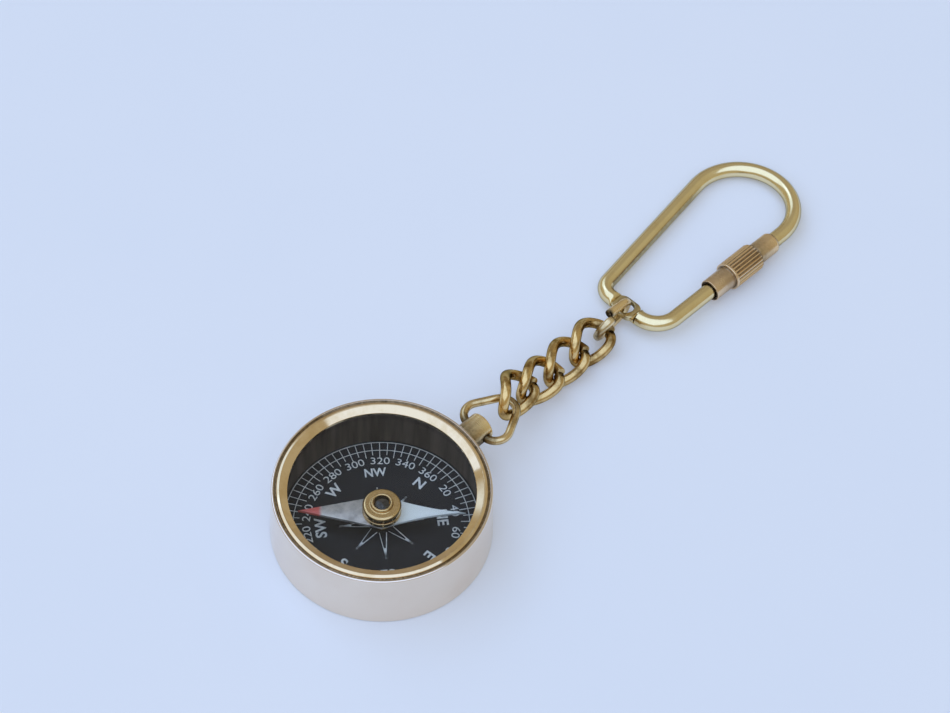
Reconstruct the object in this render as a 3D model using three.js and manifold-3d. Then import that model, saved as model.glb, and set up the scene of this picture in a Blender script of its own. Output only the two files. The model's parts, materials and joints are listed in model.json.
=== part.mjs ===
// Brass pocket compass on a short curb chain that ends in a screw-lock key hoop.
// Millimetres, +Z up. The origin is the centre of the case's base, and +X runs along the stem and the chain.
import * as THREE from "three";
import { mergeVertices } from "three/addons/utils/BufferGeometryUtils.js";
import Module from "manifold-3d";

// Clearances
const SEAT_GAP = 0.12; // a turned piece in the bore or recess that holds it
const WIRE_GAP = 0.25; // a wire in the hole that it turns in
const SLEEVE_GAP = 0.2; // the sliding sleeve round the hoop's wire
const CUT_GAP = 0.3; // between the two cut ends of a bent wire

// Case
const CASE_RADIUS = 19;
const CASE_DRAFT = 0.45; // how far the wall draws in from the base to the rim
const CASE_HEIGHT = 11.6;
const CASE_WALL = 1.4;
const CASE_FLOOR = 0.5;
const CASE_EDGE = 0.35; // rounding of the base and the rim
const BEZEL_SEAT_DEPTH = 2;
const BEZEL_SEAT_WALL = 0.42; // rim left outside the bezel

// Bezel and crystal
const BEZEL_WIDTH = 2.2; // from the opening to the seat
const BEZEL_LIP = 0.25; // upright edge round the opening
const BEZEL_BEVEL_WIDTH = 1.25;
const BEZEL_BEVEL_RISE = 0.65;
const BEZEL_CREST_RISE = 0.3; // of the rounded crest over the bevel
const CRYSTAL_THICKNESS = 1;

// Dial and the ring that holds it down
const DIAL_THICKNESS = 0.3;
const LINER_WALL = 0.45;

// Pivot
const BUSH_FLANGE_RADIUS = 1.6;
const BUSH_FLANGE = 0.4;
const BUSH_SPIGOT_RADIUS = 0.8;
const BUSH_NECK_RADIUS = 0.75;
const BUSH_HEIGHT = 2.1; // over the dial
const PIN_RADIUS = 0.35;
const PIN_SOCKET = 1.3; // depth of the pin in the bush
const PIN_POINT = 0.65;

// Needle, its turned cap and the jewel that runs on the pin
const NEEDLE_LENGTH = 14.2; // centre to tip
const NEEDLE_HALF_WIDTH = 3.3;
const NEEDLE_NORTH_WAIST = 0.1; // how far the sides are drawn in
const NEEDLE_SOUTH_WAIST = 1.1;
const NEEDLE_THICKNESS = 0.5;
const NEEDLE_HEIGHT = 3; // underside over the dial
const NEEDLE_HEADING = 136; // degrees from +X to the red tip
const CAP_RADIUS = 3.3;
const CAP_SPIGOT_RADIUS = 1.45;
const CAP_SKIRT = 0.8;
const CAP_GROOVE = 0.3;
const CAP_GROOVE_DEPTH = 0.35;
const CAP_FLANGE = 1.15;
const CAP_RING_RADIUS = 2;
const CAP_RING_RISE = 0.6;
const CAP_BORE_RADIUS = 0.9;
const JEWEL_RADIUS = 1.3;
const JEWEL_THICKNESS = 1.1;
const JEWEL_CUP = 0.3; // depth of the cup that the pin stands in
const PIN_TIP_GAP = 0.12;

// Stem
const STEM_RADIUS = 2.5;
const STEM_LENGTH = 5; // clear of the case wall
const STEM_EDGE = 0.4;
const STEM_HEIGHT = 6.8; // axis over the base
const STEM_TAIL_RADIUS = 1;
const STEM_HOLE_REACH = 3.3; // case wall to the cross hole

// Bow
const BOW_WIRE = 1.45;
const BOW_REACH = 11.8; // cross hole to the corner that the sides run to
const BOW_HALF_SPAN = 6.3; // to the corners beside the stem
const BOW_BASE_ROUND = 2.6;
const BOW_TIP_ROUND = 2.7;

// Curb chain: each link hangs from the far end of the piece before it
const LINK_WIRE = 1.9;
const LINK_INNER_LENGTH = 7.22;
const LINK_INNER_WIDTH = 4.4;
const LINK_TWIST = 0.435; // rise of the twisted sides beyond half a wire
const LINK_CUT = -24; // degrees round the link to its cut
const LINK_HANGS = [
  { play: 1.025, side: -0.48, lift: 1.39, yaw: 18.1, pitch: -13.3, roll: 45.6 },
  { play: 0.8, side: -1.58, lift: -0.39, yaw: 4.2, pitch: -7.1, roll: 46.4 },
  { play: 0.23, side: -0.69, lift: -0.47, yaw: 8.6, pitch: -0.8, roll: 41 },
  { play: 0.21, side: -1.01, lift: -0.25, yaw: 7.6, pitch: -3, roll: 38.2 },
];

// Jump ring, a long oval on edge between the last link and the hoop's eye
const RING_WIRE = 1.6;
const RING_INNER_LENGTH = 7.3;
const RING_INNER_HEIGHT = 3;
const RING_CUT = -1.6; // middle of the upper run to its cut
const RING_SKEW = 1.2; // sideways between the two cut ends
const RING_HANG = { play: 0.4, side: -0.3, lift: 0.5, yaw: 5.5, pitch: -6, roll: 12 };

// Key hoop, drawn flat from the centre of its eye and then tilted to lie on the table
const HOOP_WIRE = 2.9;
const HOOP_ARC_RADIUS = 9.8;
const HOOP_ARC_REACH = 33.5; // eye to the centre of the far bend
const HOOP_ARC_SIDE = 1.95;
const HOOP_SPLAY = 9.45; // degrees between the two legs
const HOOP_LEFT_ROUND = 3;
const HOOP_RIGHT_ROUND = 4.6;
const HOOP_TILT = { roll: -3.4, pitch: -0.5 };
const EYE_LENGTH = 5.6;
const EYE_WIDTH = 3.9;
const EYE_THICKNESS = 1.2;
const EYE_ROUND = 1.7;
const EYE_HOLE_RADIUS = 1.4;
const EYE_WIRE_LAP = 0.45; // of the flattened eye into each wire
const EYE_HANG = { play: -0.25, side: 0, lift: -0.28 };

// Screw lock on the hoop's right leg, measured along the leg from the eye
const LOCK_MOUTH = 13.9; // to the sleeve's open end
const SLEEVE_SKIRT_RADIUS = 2.1;
const SLEEVE_SKIRT = 4.8;
const KNURL_RADIUS = 2.7;
const KNURL_LENGTH = 7.4;
const KNURL_RIDGES = 24;
const KNURL_DEPTH = 0.28;
const KNURL_LIP = 0.5; // plain band at each end of the knurl
const THREAD_RADIUS = 1.85;
const THREAD_LENGTH = 3;
const THREAD_GAP = 0.1;
const FERRULE_RADIUS = 2.05;
const FERRULE_LENGTH = 5;
const FERRULE_TAPER = 0.5;
const FERRULE_SOCKET = 4; // depth of the upper wire in the ferrule
const GATE_GAP = 4; // between the lower wire's end and the thread

// Facets
const CASE_FACETS = 64;
const HUB_FACETS = 28;
const WIRE_SIDES = 10;

const HALF_TURN = Math.PI;
const rad = THREE.MathUtils.degToRad;
const wasm = await Module();
wasm.setup();

// Finishes
const finish = (color, roughness, metalness) => new THREE.MeshStandardMaterial({ color, roughness, metalness });
const polishedBrass = finish(0xd9b56a, 0.18, 1);
const agedBrass = finish(0xa98a4e, 0.35, 1);
const blackCard = finish(0x16171a, 0.7, 0);
const darkRing = finish(0x3a3430, 0.6, 0.3);
const clearGlass = new THREE.MeshStandardMaterial({
  color: 0xe8eef0,
  roughness: 0.05,
  metalness: 0,
  transparent: true,
  opacity: 0.25,
});
const brightSteel = finish(0xb9c2c8, 0.3, 1);
const darkJewel = finish(0x4a4038, 0.15, 0);

const assembly = new THREE.Group();

// Adds one named piece to the assembly.
function addPiece(name, geometry, material, parent = assembly) {
  const mesh = new THREE.Mesh(geometry, material);
  mesh.name = name;
  parent.add(mesh);
  return mesh;
}

// A closed geometry as a solid that can be joined and cut.
function solidOf(geometry) {
  const loose = geometry.index ? geometry.toNonIndexed() : geometry;
  const bare = new THREE.BufferGeometry().setAttribute("position", loose.getAttribute("position"));
  const merged = mergeVertices(bare, 1e-4);
  const vertProperties = merged.getAttribute("position").array;
  const triVerts = new Uint32Array(merged.index.array);
  return new wasm.Manifold(new wasm.Mesh({ numProp: 3, vertProperties, triVerts }));
}

// A joined or cut solid as a geometry.
function geometryOf(solid) {
  const { vertProperties, triVerts } = solid.getMesh();
  const geometry = new THREE.BufferGeometry();
  geometry.setAttribute("position", new THREE.BufferAttribute(vertProperties, 3));
  geometry.setIndex(new THREE.BufferAttribute(triVerts, 1));
  geometry.computeVertexNormals();
  return geometry;
}

// A profile of [radius, height] points turned about Z. A profile that is off the axis is closed on itself.
function turned(profile, facets) {
  const onAxis = profile[0][0] === 0;
  const outline = onAxis ? profile : [...profile, profile[0]];
  const points = outline.map(([radius, height]) => new THREE.Vector2(radius, height));
  return new THREE.LatheGeometry(points, facets).rotateX(HALF_TURN / 2);
}

// A straight round bar about Z between two heights.
function bar(radius, low, high, facets) {
  return turned(
    [
      [0, low],
      [radius, low],
      [radius, high],
      [0, high],
    ],
    facets,
  );
}

// A flat path of straight runs with rounded corners; each corner is { x, y, round }.
function addCorners(path, corners, end) {
  corners.forEach((corner, i) => {
    const at = new THREE.Vector2(corner.x, corner.y);
    const before = path.currentPoint.clone().sub(at).normalize();
    const next = corners[i + 1] ?? end;
    const after = new THREE.Vector2(next.x, next.y).sub(at).normalize();
    const half = Math.acos(before.dot(after)) / 2;
    const centre = before
      .clone()
      .add(after)
      .setLength(corner.round / Math.sin(half))
      .add(at);
    const start = before.multiplyScalar(corner.round / Math.tan(half)).add(at);
    const stop = after.clone().multiplyScalar(corner.round / Math.tan(half)).add(at);
    const turn = start.clone().sub(at).cross(stop.clone().sub(at));
    const angleOf = (point) => Math.atan2(point.y - centre.y, point.x - centre.x);
    path.lineTo(start.x, start.y);
    path.absarc(centre.x, centre.y, corner.round, angleOf(start), angleOf(stop), turn > 0);
  });
  path.lineTo(end.x, end.y);
  return path;
}

// A flat path as a curve in the XY plane, or skewed so that its two ends pass each other.
class FlatCurve extends THREE.Curve {
  constructor(path, skew = 0) {
    super();
    this.path = path;
    this.skew = skew;
  }

  getPoint(t, target = new THREE.Vector3()) {
    const { x, y } = this.path.getPoint(t);
    return target.set(x, y, this.skew * (0.5 - t));
  }
}

// A curb link's oval, cut open at one angle. Its sides rise and fall by twist, so that the chain lies flat.
class LinkCurve extends THREE.Curve {
  constructor(halfLength, halfWidth, twist, cutDegrees) {
    super();
    this.halfLength = halfLength;
    this.halfWidth = halfWidth;
    this.twist = twist;
    this.cut = rad(cutDegrees);
    const cutRadius = Math.hypot(halfLength * Math.cos(this.cut), halfWidth * Math.sin(this.cut));
    this.opening = CUT_GAP / cutRadius;
  }

  getPoint(t, target = new THREE.Vector3()) {
    const angle = this.cut + this.opening / 2 + t * (2 * HALF_TURN - this.opening);
    return target.set(
      this.halfLength * Math.cos(angle),
      this.halfWidth * Math.sin(angle),
      -this.twist * Math.sin(2 * angle),
    );
  }
}

// Round wire along a curve, with flat cut ends.
function wireAlong(curve, wire, steps, sides = WIRE_SIDES) {
  const section = new THREE.Shape().absarc(0, 0, wire / 2, 0, 2 * HALF_TURN, false);
  return new THREE.ExtrudeGeometry(section, {
    steps,
    curveSegments: sides / 2,
    bevelEnabled: false,
    extrudePath: curve,
  });
}

// Turns a piece by yaw, then pitch (far end up), then roll (left side up).
function pose(object, { yaw = 0, pitch = 0, roll = 0 }) {
  object.rotation.set(rad(roll), rad(-pitch), rad(yaw), "ZYX");
  object.updateMatrix();
}

// Heights and radii that the pieces of the case share
const boreRadius = CASE_RADIUS - CASE_WALL;
const rimRadius = CASE_RADIUS - CASE_DRAFT;
const bezelSeatRadius = rimRadius - BEZEL_SEAT_WALL;
const crystalSeat = CASE_HEIGHT - BEZEL_SEAT_DEPTH;
const crystalTop = crystalSeat + CRYSTAL_THICKNESS;
const dialTop = CASE_FLOOR + DIAL_THICKNESS;
const holeX = CASE_RADIUS + STEM_HOLE_REACH;

function addCase() {
  const shell = turned(
    [
      [0, 0],
      [CASE_RADIUS - CASE_EDGE, 0],
      [CASE_RADIUS, CASE_EDGE],
      [rimRadius, CASE_HEIGHT - CASE_EDGE],
      [rimRadius - CASE_EDGE * 0.3, CASE_HEIGHT - CASE_EDGE * 0.3],
      [rimRadius - CASE_EDGE, CASE_HEIGHT],
      [bezelSeatRadius, CASE_HEIGHT],
      [bezelSeatRadius, crystalSeat],
      [boreRadius, crystalSeat],
      [boreRadius, CASE_FLOOR],
      [0, CASE_FLOOR],
    ],
    CASE_FACETS,
  );
  const tailHole = bar(STEM_TAIL_RADIUS + SEAT_GAP, boreRadius / 2, CASE_RADIUS + CASE_WALL, HUB_FACETS);
  tailHole.rotateY(HALF_TURN / 2).translate(0, 0, STEM_HEIGHT);
  addPiece("case_cup", geometryOf(solidOf(shell).subtract(solidOf(tailHole))), polishedBrass);
}

function addBezelAndCrystal() {
  const outer = bezelSeatRadius - SEAT_GAP;
  const opening = outer - BEZEL_WIDTH;
  const bevelFoot = crystalTop + BEZEL_LIP;
  const bevelRadius = opening + BEZEL_BEVEL_WIDTH;
  const bevelTop = bevelFoot + BEZEL_BEVEL_RISE;
  const crest = bevelTop + BEZEL_CREST_RISE;
  const crestWidth = outer - bevelRadius;
  const bezel = [
    [opening, crystalTop],
    [outer, crystalTop],
    [outer, bevelFoot],
    [outer - crestWidth * 0.28, bevelTop],
    [outer - crestWidth * 0.36, crest - BEZEL_CREST_RISE * 0.25],
    [outer - crestWidth * 0.52, crest],
    [outer - crestWidth * 0.8, crest - BEZEL_CREST_RISE * 0.2],
    [bevelRadius, bevelTop],
    [opening, bevelFoot],
  ];
  addPiece("bezel_ring", turned(bezel, CASE_FACETS), polishedBrass);
  addPiece("crystal", bar(outer, crystalSeat, crystalTop, CASE_FACETS), clearGlass);
}

function addDial() {
  const dialRadius = boreRadius - SEAT_GAP;
  const holeRadius = BUSH_SPIGOT_RADIUS + SEAT_GAP;
  const dial = [
    [holeRadius, CASE_FLOOR],
    [dialRadius, CASE_FLOOR],
    [dialRadius, dialTop],
    [holeRadius, dialTop],
  ];
  addPiece("dial_card", turned(dial, CASE_FACETS), blackCard);
  const liner = [
    [dialRadius - LINER_WALL, dialTop],
    [dialRadius, dialTop],
    [dialRadius, crystalSeat - SEAT_GAP],
    [dialRadius - LINER_WALL, crystalSeat - SEAT_GAP],
  ];
  addPiece("liner_ring", turned(liner, CASE_FACETS), darkRing);
}

// The needle's heights, from the dial up
const needleLow = dialTop + NEEDLE_HEIGHT;
const needleTop = needleLow + NEEDLE_THICKNESS;
const jewelSeat = needleTop + CAP_SKIRT + CAP_GROOVE;
const pinTip = jewelSeat + JEWEL_CUP - PIN_TIP_GAP;

function addPivot() {
  const bushTop = dialTop + BUSH_HEIGHT;
  const socketLow = bushTop - PIN_SOCKET;
  const bush = [
    [0, CASE_FLOOR],
    [BUSH_SPIGOT_RADIUS, CASE_FLOOR],
    [BUSH_SPIGOT_RADIUS, dialTop],
    [BUSH_FLANGE_RADIUS, dialTop],
    [BUSH_FLANGE_RADIUS, dialTop + BUSH_FLANGE],
    [BUSH_NECK_RADIUS, dialTop + 1.5 * BUSH_FLANGE],
    [BUSH_NECK_RADIUS, bushTop],
    [PIN_RADIUS + SEAT_GAP, bushTop],
    [PIN_RADIUS + SEAT_GAP, socketLow],
    [0, socketLow],
  ];
  addPiece("pivot_bush", turned(bush, HUB_FACETS), polishedBrass);
  const pin = [
    [0, socketLow],
    [PIN_RADIUS, socketLow],
    [PIN_RADIUS, pinTip - PIN_POINT],
    [0, pinTip],
  ];
  addPiece("pivot_pin", turned(pin, HUB_FACETS / 2), brightSteel);
}

function addNeedle() {
  const middle = NEEDLE_LENGTH / 2;
  const north = NEEDLE_HALF_WIDTH / 2 - NEEDLE_NORTH_WAIST;
  const south = NEEDLE_HALF_WIDTH / 2 - NEEDLE_SOUTH_WAIST;
  const outline = new THREE.Shape().moveTo(NEEDLE_LENGTH, 0);
  outline.quadraticCurveTo(middle, north, 0, NEEDLE_HALF_WIDTH);
  outline.quadraticCurveTo(-middle, south, -NEEDLE_LENGTH, 0);
  outline.quadraticCurveTo(-middle, -south, 0, -NEEDLE_HALF_WIDTH);
  outline.quadraticCurveTo(middle, -north, NEEDLE_LENGTH, 0);
  outline.holes.push(new THREE.Path().absarc(0, 0, CAP_SPIGOT_RADIUS + SEAT_GAP, 0, 2 * HALF_TURN, true));
  const plate = new THREE.ExtrudeGeometry(outline, {
    depth: NEEDLE_THICKNESS,
    bevelEnabled: false,
    curveSegments: 8,
  });
  plate.rotateZ(rad(NEEDLE_HEADING)).translate(0, 0, needleLow);
  addPiece("needle", plate, brightSteel);

  const grooveRadius = CAP_RADIUS - CAP_GROOVE_DEPTH;
  const flangeLow = needleTop + CAP_SKIRT + CAP_GROOVE;
  const flangeTop = flangeLow + CAP_FLANGE;
  const ringTop = flangeTop + CAP_RING_RISE;
  const jewelBore = JEWEL_RADIUS + SEAT_GAP;
  const ringMiddle = (CAP_RING_RADIUS + jewelBore) / 2;
  const cap = [
    [CAP_BORE_RADIUS, needleLow],
    [CAP_SPIGOT_RADIUS, needleLow],
    [CAP_SPIGOT_RADIUS, needleTop],
    [CAP_RADIUS, needleTop],
    [CAP_RADIUS, needleTop + CAP_SKIRT],
    [grooveRadius, needleTop + CAP_SKIRT],
    [grooveRadius, flangeLow],
    [CAP_RADIUS, flangeLow],
    [CAP_RADIUS, flangeTop - CAP_FLANGE * 0.3],
    [CAP_RADIUS - CAP_FLANGE * 0.4, flangeTop],
    [CAP_RING_RADIUS, flangeTop],
    [CAP_RING_RADIUS, ringTop - CAP_RING_RISE * 0.35],
    [ringMiddle, ringTop],
    [jewelBore, ringTop - CAP_RING_RISE * 0.35],
    [jewelBore, jewelSeat],
    [CAP_BORE_RADIUS, jewelSeat],
  ];
  addPiece("needle_cap", turned(cap, HUB_FACETS), polishedBrass);
  const jewel = [
    [0, jewelSeat + JEWEL_CUP],
    [CAP_BORE_RADIUS / 2, jewelSeat],
    [JEWEL_RADIUS, jewelSeat],
    [JEWEL_RADIUS, jewelSeat + JEWEL_THICKNESS],
    [JEWEL_RADIUS * 0.6, jewelSeat + JEWEL_THICKNESS * 1.25],
    [0, jewelSeat + JEWEL_THICKNESS * 1.35],
  ];
  addPiece("jewel", turned(jewel, HUB_FACETS), darkJewel);
}

function addStem() {
  const start = boreRadius + SEAT_GAP;
  const end = CASE_RADIUS + STEM_LENGTH;
  const post = [
    [0, start],
    [STEM_RADIUS, start],
    [STEM_RADIUS, end - STEM_EDGE],
    [STEM_RADIUS - STEM_EDGE, end],
    [0, end],
  ];
  const caseBody = turned(
    [
      [0, -CASE_HEIGHT],
      [CASE_RADIUS + SEAT_GAP + CASE_DRAFT, -CASE_HEIGHT],
      [CASE_RADIUS + SEAT_GAP - 2 * CASE_DRAFT, 2 * CASE_HEIGHT],
      [0, 2 * CASE_HEIGHT],
    ],
    CASE_FACETS,
  );
  const crossHole = bar((BOW_WIRE + WIRE_GAP) / 2, -2 * STEM_RADIUS, 2 * STEM_RADIUS, HUB_FACETS);
  const lieAlongX = (geometry) => geometry.rotateY(HALF_TURN / 2).translate(0, 0, STEM_HEIGHT);
  crossHole.rotateX(HALF_TURN / 2).translate(holeX, 0, STEM_HEIGHT);
  const tail = bar(STEM_TAIL_RADIUS, start, CASE_RADIUS + STEM_EDGE, HUB_FACETS);
  const solid = solidOf(lieAlongX(turned(post, HUB_FACETS)))
    .subtract(solidOf(caseBody))
    .add(solidOf(lieAlongX(tail)))
    .subtract(solidOf(crossHole));
  addPiece("stem", geometryOf(solid), polishedBrass);
}

// Bends the bow from its two ends, which meet inside the stem. Returns the middle of its far wire.
function addBow() {
  const path = new THREE.Path().moveTo(0, CUT_GAP / 2);
  addCorners(
    path,
    [
      { x: 0, y: BOW_HALF_SPAN, round: BOW_BASE_ROUND },
      { x: BOW_REACH, y: 0, round: BOW_TIP_ROUND },
      { x: 0, y: -BOW_HALF_SPAN, round: BOW_BASE_ROUND },
    ],
    { x: 0, y: -CUT_GAP / 2 },
  );
  const bow = addPiece("bow", wireAlong(new FlatCurve(path), BOW_WIRE, 44), agedBrass);
  bow.position.set(holeX, 0, STEM_HEIGHT);
  const tipSlope = Math.atan2(BOW_HALF_SPAN, BOW_REACH);
  const tipSetback = BOW_TIP_ROUND / Math.sin(tipSlope) - BOW_TIP_ROUND;
  return new THREE.Vector3(holeX + BOW_REACH - tipSetback, 0, STEM_HEIGHT);
}

// Hangs a loop's near end inside the wire end that carries it. Returns the loop's own far end.
function hangLoop(mesh, seat, hang, wires, halfLength) {
  pose(mesh, hang);
  const along = new THREE.Vector3(halfLength, 0, 0).applyEuler(mesh.rotation);
  const near = seat.clone().add(new THREE.Vector3(-(wires / 2 + hang.play), hang.side, hang.lift));
  mesh.position.copy(near).add(along);
  return mesh.position.clone().add(along);
}

function addChain(bowEnd) {
  const halfLength = (LINK_INNER_LENGTH + LINK_WIRE) / 2;
  const halfWidth = (LINK_INNER_WIDTH + LINK_WIRE) / 2;
  const curve = new LinkCurve(halfLength, halfWidth, LINK_WIRE / 2 + LINK_TWIST, LINK_CUT);
  let seat = bowEnd;
  let carrier = BOW_WIRE;
  LINK_HANGS.forEach((hang, i) => {
    const link = addPiece(`chain_link_${i + 1}`, wireAlong(curve, LINK_WIRE, 40), agedBrass);
    seat = hangLoop(link, seat, hang, carrier + LINK_WIRE, halfLength);
    carrier = LINK_WIRE;
  });
  return seat;
}

function addJumpRing(chainEnd) {
  const halfLength = (RING_INNER_LENGTH + RING_WIRE) / 2;
  const halfHeight = (RING_INNER_HEIGHT + RING_WIRE) / 2;
  const path = new THREE.Path().moveTo(RING_CUT - CUT_GAP / 2, halfHeight);
  const corner = (x, y) => ({ x, y, round: halfHeight });
  addCorners(
    path,
    [
      corner(-halfLength, halfHeight),
      corner(-halfLength, -halfHeight),
      corner(halfLength, -halfHeight),
      corner(halfLength, halfHeight),
    ],
    { x: RING_CUT + CUT_GAP / 2, y: halfHeight },
  );
  const standing = wireAlong(new FlatCurve(path, RING_SKEW), RING_WIRE, 36).rotateX(HALF_TURN / 2);
  const ring = addPiece("jump_ring", standing, agedBrass);
  return hangLoop(ring, chainEnd, RING_HANG, LINK_WIRE + RING_WIRE, halfLength);
}

function addHoop(ringEnd) {
  const hoop = new THREE.Group();
  pose(hoop, HOOP_TILT);
  hoop.position.copy(ringEnd).add(new THREE.Vector3(EYE_HANG.play, EYE_HANG.side, EYE_HANG.lift));
  assembly.add(hoop);

  const legSide = HOOP_ARC_SIDE - HOOP_ARC_RADIUS;
  const knurlStart = LOCK_MOUTH + SLEEVE_SKIRT;
  const lockFace = knurlStart + KNURL_LENGTH;
  const threadEnd = lockFace - THREAD_LENGTH;
  const lowerEnd = threadEnd - GATE_GAP;
  const upperEnd = lockFace + FERRULE_LENGTH - FERRULE_SOCKET;

  // The wire, from its upper end round the far bend to its lower end
  const splay = rad(HOOP_SPLAY);
  const leftAtBase = HOOP_ARC_SIDE + (HOOP_ARC_RADIUS - HOOP_ARC_REACH * Math.sin(splay)) / Math.cos(splay);
  const path = new THREE.Path().moveTo(upperEnd, legSide);
  path.lineTo(HOOP_ARC_REACH, legSide);
  path.absarc(HOOP_ARC_REACH, HOOP_ARC_SIDE, HOOP_ARC_RADIUS, -HALF_TURN / 2, HALF_TURN / 2 + splay, false);
  addCorners(
    path,
    [
      { x: 0, y: leftAtBase, round: HOOP_LEFT_ROUND },
      { x: 0, y: legSide, round: HOOP_RIGHT_ROUND },
    ],
    { x: lowerEnd, y: legSide },
  );
  const wire = wireAlong(new FlatCurve(path), HOOP_WIRE, 88, 12);

  // The eye, flattened from the wire with a step at each end
  const gap = EYE_LENGTH - 2 * EYE_WIRE_LAP;
  const wireGap = new THREE.BoxGeometry(2 * EYE_WIDTH, gap, 2 * HOOP_WIRE);
  const halfWidth = EYE_WIDTH / 2;
  const halfLength = EYE_LENGTH / 2;
  const outline = new THREE.Path().moveTo(halfWidth, 0);
  addCorners(
    outline,
    [
      { x: halfWidth, y: halfLength, round: EYE_ROUND },
      { x: -halfWidth, y: halfLength, round: EYE_ROUND },
      { x: -halfWidth, y: -halfLength, round: EYE_ROUND },
      { x: halfWidth, y: -halfLength, round: EYE_ROUND },
    ],
    { x: halfWidth, y: 0 },
  );
  const eyeShape = new THREE.Shape(outline.getPoints(5));
  eyeShape.holes.push(new THREE.Path().absarc(0, 0, EYE_HOLE_RADIUS, 0, 2 * HALF_TURN, true));
  const eye = new THREE.ExtrudeGeometry(eyeShape, {
    depth: EYE_THICKNESS,
    bevelEnabled: false,
    curveSegments: 12,
  });
  eye.translate(0, 0, -EYE_THICKNESS / 2);
  const body = solidOf(wire).subtract(solidOf(wireGap)).add(solidOf(eye));
  addPiece("hoop_wire", geometryOf(body), polishedBrass, hoop);

  // The lock turns about the right leg, so its pieces are made about Z and laid along the leg
  const lock = new THREE.Group();
  lock.position.set(0, legSide, 0);
  lock.rotation.y = HALF_TURN / 2;
  hoop.add(lock);
  const wireBore = HOOP_WIRE / 2 + SLEEVE_GAP;
  const threadBore = THREAD_RADIUS + THREAD_GAP;
  const ridgeRoot = KNURL_RADIUS - KNURL_DEPTH;
  const boreStep = lowerEnd + (threadEnd - lowerEnd) / 4;
  const sleeveCore = [
    [wireBore, LOCK_MOUTH],
    [SLEEVE_SKIRT_RADIUS, LOCK_MOUTH],
    [SLEEVE_SKIRT_RADIUS, knurlStart],
    [KNURL_RADIUS, knurlStart],
    [KNURL_RADIUS, knurlStart + KNURL_LIP],
    [ridgeRoot, knurlStart + KNURL_LIP],
    [ridgeRoot, lockFace - KNURL_LIP],
    [KNURL_RADIUS - KNURL_DEPTH / 2, lockFace],
    [threadBore, lockFace],
    [threadBore, boreStep],
    [wireBore, boreStep],
  ];
  const star = Array.from({ length: 4 * KNURL_RIDGES }, (_, i) => {
    const angle = (i * HALF_TURN) / (2 * KNURL_RIDGES);
    const radius = i % 4 < 2 ? KNURL_RADIUS : ridgeRoot - KNURL_DEPTH / 2;
    return new THREE.Vector2(radius * Math.cos(angle), radius * Math.sin(angle));
  });
  const ridgeShape = new THREE.Shape(star);
  const ridgeBore = (threadBore + ridgeRoot) / 2;
  ridgeShape.holes.push(new THREE.Path().absarc(0, 0, ridgeBore, 0, 2 * HALF_TURN, true));
  const ridges = new THREE.ExtrudeGeometry(ridgeShape, {
    depth: KNURL_LENGTH - 2 * KNURL_LIP,
    bevelEnabled: false,
    curveSegments: HUB_FACETS / 2,
  });
  ridges.translate(0, 0, knurlStart + KNURL_LIP);
  const sleeve = solidOf(turned(sleeveCore, HUB_FACETS)).add(solidOf(ridges));
  addPiece("lock_sleeve", geometryOf(sleeve), polishedBrass, lock);

  const ferruleEnd = lockFace + FERRULE_LENGTH;
  const wireSocket = HOOP_WIRE / 2 + SEAT_GAP;
  const ferrule = [
    [0, threadEnd],
    [THREAD_RADIUS - THREAD_GAP, threadEnd],
    [THREAD_RADIUS, threadEnd + THREAD_GAP],
    [THREAD_RADIUS, lockFace + SEAT_GAP],
    [FERRULE_RADIUS, lockFace + SEAT_GAP],
    [FERRULE_RADIUS, ferruleEnd - FERRULE_TAPER],
    [wireSocket + SEAT_GAP, ferruleEnd],
    [wireSocket, ferruleEnd],
    [wireSocket, upperEnd - SEAT_GAP],
    [0, upperEnd - SEAT_GAP],
  ];
  addPiece("thread_ferrule", turned(ferrule, HUB_FACETS), polishedBrass, lock);
}

addCase();
addBezelAndCrystal();
addDial();
addPivot();
addNeedle();
addStem();
addHoop(addJumpRing(addChain(addBow())));

export default assembly;
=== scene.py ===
"""Brass compass on a twisted chain with a screw-lock key hoop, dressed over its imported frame.

Sizes are in millimetres until a piece is finished, and the frame is in metres: +X runs from the case along
the chain, +Z up through the crystal, and the origin is the middle of the case's base.
"""

from __future__ import annotations

import json
import logging
import math
from dataclasses import dataclass
from enum import Enum
from typing import Callable, Sequence

import bmesh
import bpy
from mathutils import Matrix, Vector

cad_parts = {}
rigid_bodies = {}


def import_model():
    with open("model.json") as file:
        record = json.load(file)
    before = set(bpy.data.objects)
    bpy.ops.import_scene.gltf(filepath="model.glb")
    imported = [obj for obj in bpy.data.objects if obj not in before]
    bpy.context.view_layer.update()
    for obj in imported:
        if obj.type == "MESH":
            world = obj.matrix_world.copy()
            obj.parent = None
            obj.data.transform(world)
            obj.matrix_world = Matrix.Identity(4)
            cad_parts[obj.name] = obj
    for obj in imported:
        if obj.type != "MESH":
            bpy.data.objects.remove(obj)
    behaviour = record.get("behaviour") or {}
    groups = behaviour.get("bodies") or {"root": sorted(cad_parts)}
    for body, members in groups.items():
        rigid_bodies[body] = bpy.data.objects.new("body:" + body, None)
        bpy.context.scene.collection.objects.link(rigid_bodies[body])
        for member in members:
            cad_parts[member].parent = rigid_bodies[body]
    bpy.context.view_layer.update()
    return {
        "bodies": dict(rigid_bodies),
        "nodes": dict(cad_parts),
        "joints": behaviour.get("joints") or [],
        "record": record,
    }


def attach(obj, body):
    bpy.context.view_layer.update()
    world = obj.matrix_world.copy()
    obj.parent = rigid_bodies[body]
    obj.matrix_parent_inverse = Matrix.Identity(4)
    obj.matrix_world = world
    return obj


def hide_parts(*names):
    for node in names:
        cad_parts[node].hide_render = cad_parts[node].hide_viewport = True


LOG = logging.getLogger("compass_keychain")
MM = 0.001
FULL_TURN = 2 * math.pi
SLIVER = 0.002
FLAT_MARGIN = 0.04
WIRE_END_ROUND = 0.12
UP = Vector((0.0, 0.0, 1.0))
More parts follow.
